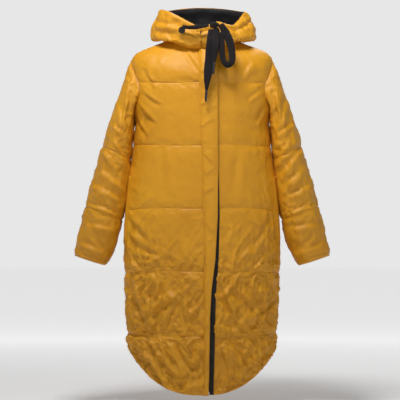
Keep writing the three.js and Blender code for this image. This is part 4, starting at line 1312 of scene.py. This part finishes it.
def storm_flap():
    rows = 330
    t = np.linspace(FLAP_TOP_ROW, HEM_ROW, rows)
    t[np.argmin(np.abs(t - FLAP_SPLIT_ROW))] = FLAP_SPLIT_ROW
    places = np.linspace(0, len(FLAP_SECTION) - 1, 34)
    section = smooth(FLAP_SECTION, places)
    points = flap_grid(t, section[:, 0], section[:, 1])
    normals = outward(points, 1)
    facing = 1 if normals[rows // 2, 14, 1] < 0 else -1
    x, z = points[..., 0], points[..., 2]
    on_top = (places < 8)[None] * ease((8 - places) / 1.5)[None]
    seam_x, edge_x = np.interp(z, *FLAP_SEAM), np.interp(z, *FLAP_EDGE)
    along = run(points, 0)
    height = puckers(x - seam_x, along, 301, 1.9 * MM, 0.020, 0.014)
    height = height + puckers(edge_x - x, along, 302, 1.0 * MM, 0.01)
    height += sum(fold_line(x, z, *fold) for fold in FLAP_FOLDS)
    height += (groove(x - seam_x - STITCH_INSET, 1.2 * MM, 1.8 * MM)
               + groove(edge_x - x - 0.005, 0.8 * MM, 1.6 * MM))
    for line in QUILT_Z[1:]:
        height += groove(z - line, 1.2 * MM, 2.4 * MM)
    height += 0.0008 * crumple(leaning(points, 0.7, 2), 0.020, 305, 2)
    height = np.maximum(height, -0.8 * MM)
    points = points + outward(points, facing) * (height * on_top)[..., None]
    cut = int(np.argmin(np.abs(t - FLAP_SPLIT_ROW)))
    parts = {"storm_flap_top": ("coat_body", slice(0, cut + 1)), "storm_flap": (None, slice(cut, rows))}
    for part, (body, held) in parts.items():
        quilt = padded_piece(part + "_quilt", points[held], SHELL_CLOTH, "flap_cloth",
                             [part + "_shell", part + "_wadding"], body, wall=1.0 * MM, facing=facing)
        under = flap_grid(t[held], UNDER_PLACES, UNDER_LIFTS)
        inner = padded_piece(part + "_inside", under, LINING_CLOTH, "lining_cloth", [part + "_lining"], body,
                             wall=0.7 * MM, facing=facing)
        if body is None:
            for obj in (quilt, inner):
                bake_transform(obj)


storm_flap()

# %% [markdown]
# The flap's stitches. A stitch is a short bar of thread that sinks into the cloth at both ends, and a bar
# tack is a packed row of them across the seam, sewn where the stitching ends.

# %% Flap stitches
STITCH_LENGTH, STITCH_PITCH, TACK_TOP, TACK_BOTTOM = 0.0028, 0.0040, -0.650, -0.680


def flap_stitches():
    bm = bmesh.new()
    down_seam = np.arange(-0.050, TACK_TOP, -STITCH_PITCH)
    tack = np.arange(TACK_TOP, TACK_BOTTOM, -0.0010)
    stitches = [(z, (0.0006, 0.0006, STITCH_LENGTH)) for z in down_seam]
    stitches += [(z, (0.0034, 0.0007, 0.0007)) for z in tack]
    for z, size in stitches:
        x = float(np.interp(z, *FLAP_SEAM)) + STITCH_INSET
        width = float(np.interp(z, *FLAP_EDGE)) - x + STITCH_INSET
        height = np.interp(STITCH_INSET / width, FLAP_SECTION[:4, 0], FLAP_SECTION[:4, 1]) * MM - 0.8 * MM
        place = front_points(x, float(row_at(z)), float(height))
        stitch = bmesh.ops.create_cube(bm, size=1)["verts"]
        bmesh.ops.scale(bm, verts=stitch, vec=size)
        bmesh.ops.translate(bm, verts=stitch, vec=Vector(place.tolist()))
    obj = piece_from(bm, "flap_stitches", False)
    finish_with(obj, SHELL_THREAD, "shell_cloth", "coat_body")
    print("stitches", len(down_seam), "tack", len(tack))


flap_stitches()

# %% [markdown]
# The zip under the flap: two woven tapes, a row of moulded teeth on each, a slider that closes them and the
# box that holds their lower ends. The left tape runs on to the hem as the dark edge that shows beside the
# flap.

# %% Zip tapes
TEETH_X, TAPE_LIFT, TAPE_COLUMNS = 0.018, 0.0016, 7


def zip_tape(side, from_x, to_x, t):
    z = body_points(np.zeros_like(t), t)[:, 2]
    left, right = (np.interp(z, *x) if isinstance(x, tuple) else np.full(len(t), x) for x in (from_x, to_x))
    x = left[:, None] + (right - left)[:, None] * np.linspace(0, 1, TAPE_COLUMNS)[None]
    points = front_points(x, t[:, None], np.full(x.shape, TAPE_LIFT))
    facing = 1 if outward(points, 1)[len(t) // 2, 2, 1] < 0 else -1
    padded_piece(f"zip_tape_{side}_woven", points, TAPE_CLOTH, "tape", [f"zip_tape_{side}"], "coat_body",
                 wall=0.8 * MM, facing=facing)


wide_edge = (LINE_Z, [x + 0.004 for x in OPENING_EDGE[1]])
beside_seam = (LINE_Z, [x + 0.0035 for x in FLAP_SEAM[1]])
zip_tape("left", 0.0212, wide_edge, np.linspace(2, HEM_ROW - 0.02, 180))
zip_tape("right", beside_seam, 0.0152, np.linspace(2, 10, 120))

# %% Zip teeth
zip_top = front_points(TEETH_X, 2.0, 0.0)
zip_end = front_points(TEETH_X, 10.0, 0.0)


def teeth(side, shift):
    bm = bmesh.new()
    pitch = 0.0028
    count = int(np.linalg.norm(zip_end - zip_top) / pitch)
    for k in range(count):
        t = float(row_at(zip_top[2] + (zip_end[2] - zip_top[2]) * (k + 0.5 * (side == "left")) / count))
        place = front_points(TEETH_X + shift, t, 0.0026)
        tooth = bmesh.ops.create_cube(bm, size=1)["verts"]
        bmesh.ops.scale(bm, verts=tooth, vec=(0.0042, 0.0022, 0.0012))
        bmesh.ops.translate(bm, verts=tooth, vec=Vector(place.tolist()))
    bmesh.ops.bevel(bm, geom=bm.edges[:], offset=0.00025, segments=1, profile=0.5, affect="EDGES", material=-1)
    obj = piece_from(bm, f"zip_teeth_{side}_row", False)
    finish_with(obj, TIP_PLASTIC, "black_metal", "coat_body", f"zip_teeth_{side}")
    print("teeth", side, count)


teeth("left", 0.0013)
teeth("right", -0.0013)

# %% [markdown]
# The slider and its puller are small cast parts with rounded edges. Each starts from a cube, is brought to
# the size of its solid, and is bevelled. The puller's front face is inset and pushed in, which leaves a rim.

# %% Slider, puller and box
def zip_part(name, node, size, material, slot, body, shape=None):
    bm = bmesh.new()
    bmesh.ops.create_cube(bm, size=1)
    bmesh.ops.scale(bm, verts=bm.verts, vec=size)
    if shape:
        shape(bm)
    bmesh.ops.bevel(bm, geom=bm.edges[:], offset=0.0004, segments=2, profile=0.5, affect="EDGES", material=-1)
    set_down(bm, (0, 0, -1), (zip_end - zip_top).tolist(), box_middle(node))
    obj = piece_from(bm, name, False)
    finish_with(obj, material, slot, body, node)


def slider_shape(bm):
    """Narrows the lower end and raises the bridge on the front face."""
    for vert in bm.verts:
        if vert.co.z < 0:
            vert.co.x *= 0.72
    front = min(bm.faces, key=lambda f: f.calc_center_median().y)
    front = bmesh.ops.inset_region(bm, faces=[front], thickness=0.003)["faces"] and front
    raised = bmesh.ops.extrude_discrete_faces(bm, faces=[front])["faces"][0]
    bmesh.ops.translate(bm, verts=raised.verts, vec=(0, -0.0012, 0))


def puller_shape(bm):
    """A tab that widens downwards, with a raised rim."""
    for vert in bm.verts:
        if vert.co.z > 0:
            vert.co.x *= 0.8
    front = min(bm.faces, key=lambda f: f.calc_center_median().y)
    bmesh.ops.inset_region(bm, faces=[front], thickness=0.0011)
    bmesh.ops.translate(bm, verts=front.verts, vec=(0, 0.0004, 0))


zip_part("zip_slider_cast", "zip_slider", (0.011, 0.0030, 0.020), SLIDER_METAL, "slider_metal", "slider",
         slider_shape)
zip_part("zip_puller_tab", "zip_puller", (0.007, 0.0012, 0.038), SLIDER_METAL, "slider_metal", "slider",
         puller_shape)
zip_part("zip_end_box", "zip_bottom_box", (0.012, 0.003, 0.009), BLACK_METAL, "black_metal", "coat_body")

# %% [markdown]
# Inside the fronts, a facing of lining cloth backs the zip. The side pockets are welts, folded strips of
# shell cloth on the side of the body, over bags of lining cloth.

# %% Facings and pockets
PATCH_COLUMNS = 14


def body_patch(name, from_angle, to_angle, rows, lift, material, slot, nodes, wall=0.8 * MM, swell=0.0):
    t = np.array(rows, float)[:, None]
    u = np.linspace(0, 1, PATCH_COLUMNS)[None]
    left, right = (edge(t) if callable(edge) else edge for edge in (from_angle, to_angle))
    points = body_points(mix(left, right, u), t)
    normal = outward(points, 1)
    facing = 1 if (normal * points * [1, 1, 0]).sum() > 0 else -1
    lift = lift + swell * np.sin(math.pi * u) * np.ones_like(t)
    points = points + normal * facing * lift[..., None]
    return padded_piece(name, points, material, slot, nodes, "coat_body", wall=wall, facing=facing)


FACING_WIDTH, BEHIND_LINING = 0.060, -0.0155
FACING_ROWS = np.linspace(0.2, HEM_ROW - 0.1, 90)
body_patch("facing_left_cloth", split_line, lambda t: split_angle(t, SPLIT_X + FACING_WIDTH),
           FACING_ROWS, BEHIND_LINING, LINING_CLOTH, "lining_cloth", ["facing_left"])
body_patch("facing_right_cloth", lambda t: split_angle(t, SPLIT_X - FACING_WIDTH), split_line,
           FACING_ROWS, BEHIND_LINING, LINING_CLOTH, "lining_cloth", ["facing_right"])
for side, sign in (("left", 1), ("right", -1)):
    welt = (math.radians(72) * sign, math.radians(80) * sign)
    body_patch(f"pocket_{side}_welt", *welt, np.linspace(8, 10, 40), 0.0028, SHELL_CLOTH, "shell_cloth",
               [f"pocket_welt_{side}"], wall=1.0 * MM, swell=0.0022)
    bag = (math.radians(40) * sign, math.radians(78) * sign)
    body_patch(f"pocket_{side}_bag", *bag, np.linspace(8, 11, 40), -0.0165, LINING_CLOTH, "lining_cloth",
               [f"pocket_bag_{side}"])

# %% [markdown]
# The eyelets are rolled metal rings. The section of the ring is spun round its middle, turned to the cloth
# and set on the hood where its solid is.

# %% Eyelets
EYELET_RADIUS, EYELET_TUBE = 0.0084, 0.0021


def eyelet(side):
    middle = box_middle("eyelet_" + side)
    bm = bmesh.new()
    section = bmesh.ops.create_circle(bm, segments=10, radius=EYELET_TUBE)["verts"]
    bmesh.ops.rotate(bm, verts=section, cent=(0, 0, 0), matrix=Matrix.Rotation(math.pi / 2, 3, "X"))
    bmesh.ops.scale(bm, verts=section, vec=(1, 1, 0.6))
    bmesh.ops.translate(bm, verts=section, vec=(EYELET_RADIUS, 0, 0))
    bmesh.ops.spin(bm, geom=bm.verts[:] + bm.edges[:], cent=(0, 0, 0), axis=(0, 0, 1), angle=math.tau, steps=36,
                   use_merge=True)
    bmesh.ops.remove_doubles(bm, verts=bm.verts, dist=1e-6)
    bmesh.ops.recalc_face_normals(bm, faces=bm.faces)
    bmesh.ops.create_circle(bm, cap_ends=True, segments=24, radius=0.0078)
    out = Vector((middle.x * 0.55, middle.y, 0.0)).normalized() + Vector((0, 0, -0.15))
    set_down(bm, (0, 0, 1), out, middle + out * 0.0065)
    obj = piece_from(bm, f"eyelet_{side}_ring")
    finish_with(obj, BLACK_METAL, "black_metal", "coat_body", "eyelet_" + side)


eyelet("right")
eyelet("left")

# %% Carried-over solids with finished materials
for node, material in {"hanger_loop": TAPE_CLOTH, "neck_label": LABEL_CLOTH}.items():
    solid = bpy.data.objects[node]
    solid.data.materials.clear()
    solid.data.materials.append(material)

# %% Backdrop and light
def backdrop():
    bm = bmesh.new()
    bmesh.ops.create_circle(bm, cap_ends=True, segments=64, radius=14)
    bmesh.ops.translate(bm, verts=bm.verts, vec=(0, 0, cad_low[2] - 0.04))
    return piece_from(bm, "studio_floor")


floor = backdrop()
# Painted light: the floor is pale paper that also glows, though it is no lamp. Its glow is weak under the coat
# and grows with the distance from it, so the floor shows darker round the coat.
glowing_paper, glowing_paper_nodes, glowing_paper_links, glowing_paper_shader = new_material("glowing_studio_paper")
set_values(glowing_paper_shader, {"Base Color": (0.9, 0.9, 0.9, 1), "Roughness": 0.9,
                          "Emission Color": (1, 1, 1, 1)})
place = glowing_paper_nodes.new("ShaderNodeTexCoord").outputs["Object"]
far = glowing_paper_nodes.new("ShaderNodeVectorMath")
far.operation = "LENGTH"
glowing_paper_links.new(place, far.inputs[0])
glow = glowing_paper_nodes.new("ShaderNodeMapRange")
set_values(glow, {"From Min": 1.2, "From Max": 3.5, "To Min": 0.06, "To Max": 0.70})
glowing_paper_links.new(far.outputs["Value"], glow.inputs["Value"])
glowing_paper_links.new(glow.outputs["Result"], glowing_paper_shader.inputs["Emission Strength"])
floor.data.materials.append(glowing_paper)
floor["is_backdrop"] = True


def area_light(name, place, target, size, power):
    data = bpy.data.lights.new(name, "AREA")
    data.shape = "RECTANGLE"
    data.size, data.size_y = size
    data.energy = power
    data.color = (1, 1, 1)
    light = bpy.data.objects.new(name, data)
    light.location = place
    light.rotation_euler = (Vector(target) - Vector(place)).to_track_quat("-Z", "Y").to_euler()
    scene.collection.objects.link(light)


area_light("key", (-0.28, -0.86, 1.28), (0, 0, -0.20), (0.6, 0.36), 33)
area_light("fill", (1.5, -2.6, 0.3), (0, 0, -0.5), (1.2, 1.6), 4)
area_light("rim", (0.5, 1.6, 1.6), (0, 0, -0.4), (1.0, 0.6), 26)
world = bpy.data.worlds.new("studio")
scene.world = world
world.use_nodes = True
world.node_tree.nodes["Background"].inputs["Color"].default_value = (1, 1, 1, 1)
sky_nodes, sky_links = world.node_tree.nodes, world.node_tree.links
toward = sky_nodes.new("ShaderNodeTexCoord").outputs["Generated"]
parts = sky_nodes.new("ShaderNodeSeparateXYZ")
sky_links.new(toward, parts.inputs[0])
band = sky_nodes.new("ShaderNodeMapRange")
set_values(band, {"From Min": 0.10, "From Max": 0.24, "To Min": 0.80, "To Max": 0.04})
sky_links.new(parts.outputs["Z"], band.inputs["Value"])
sky_links.new(band.outputs["Result"], sky_nodes["Background"].inputs["Strength"])
scene.view_settings.view_transform = "Standard"
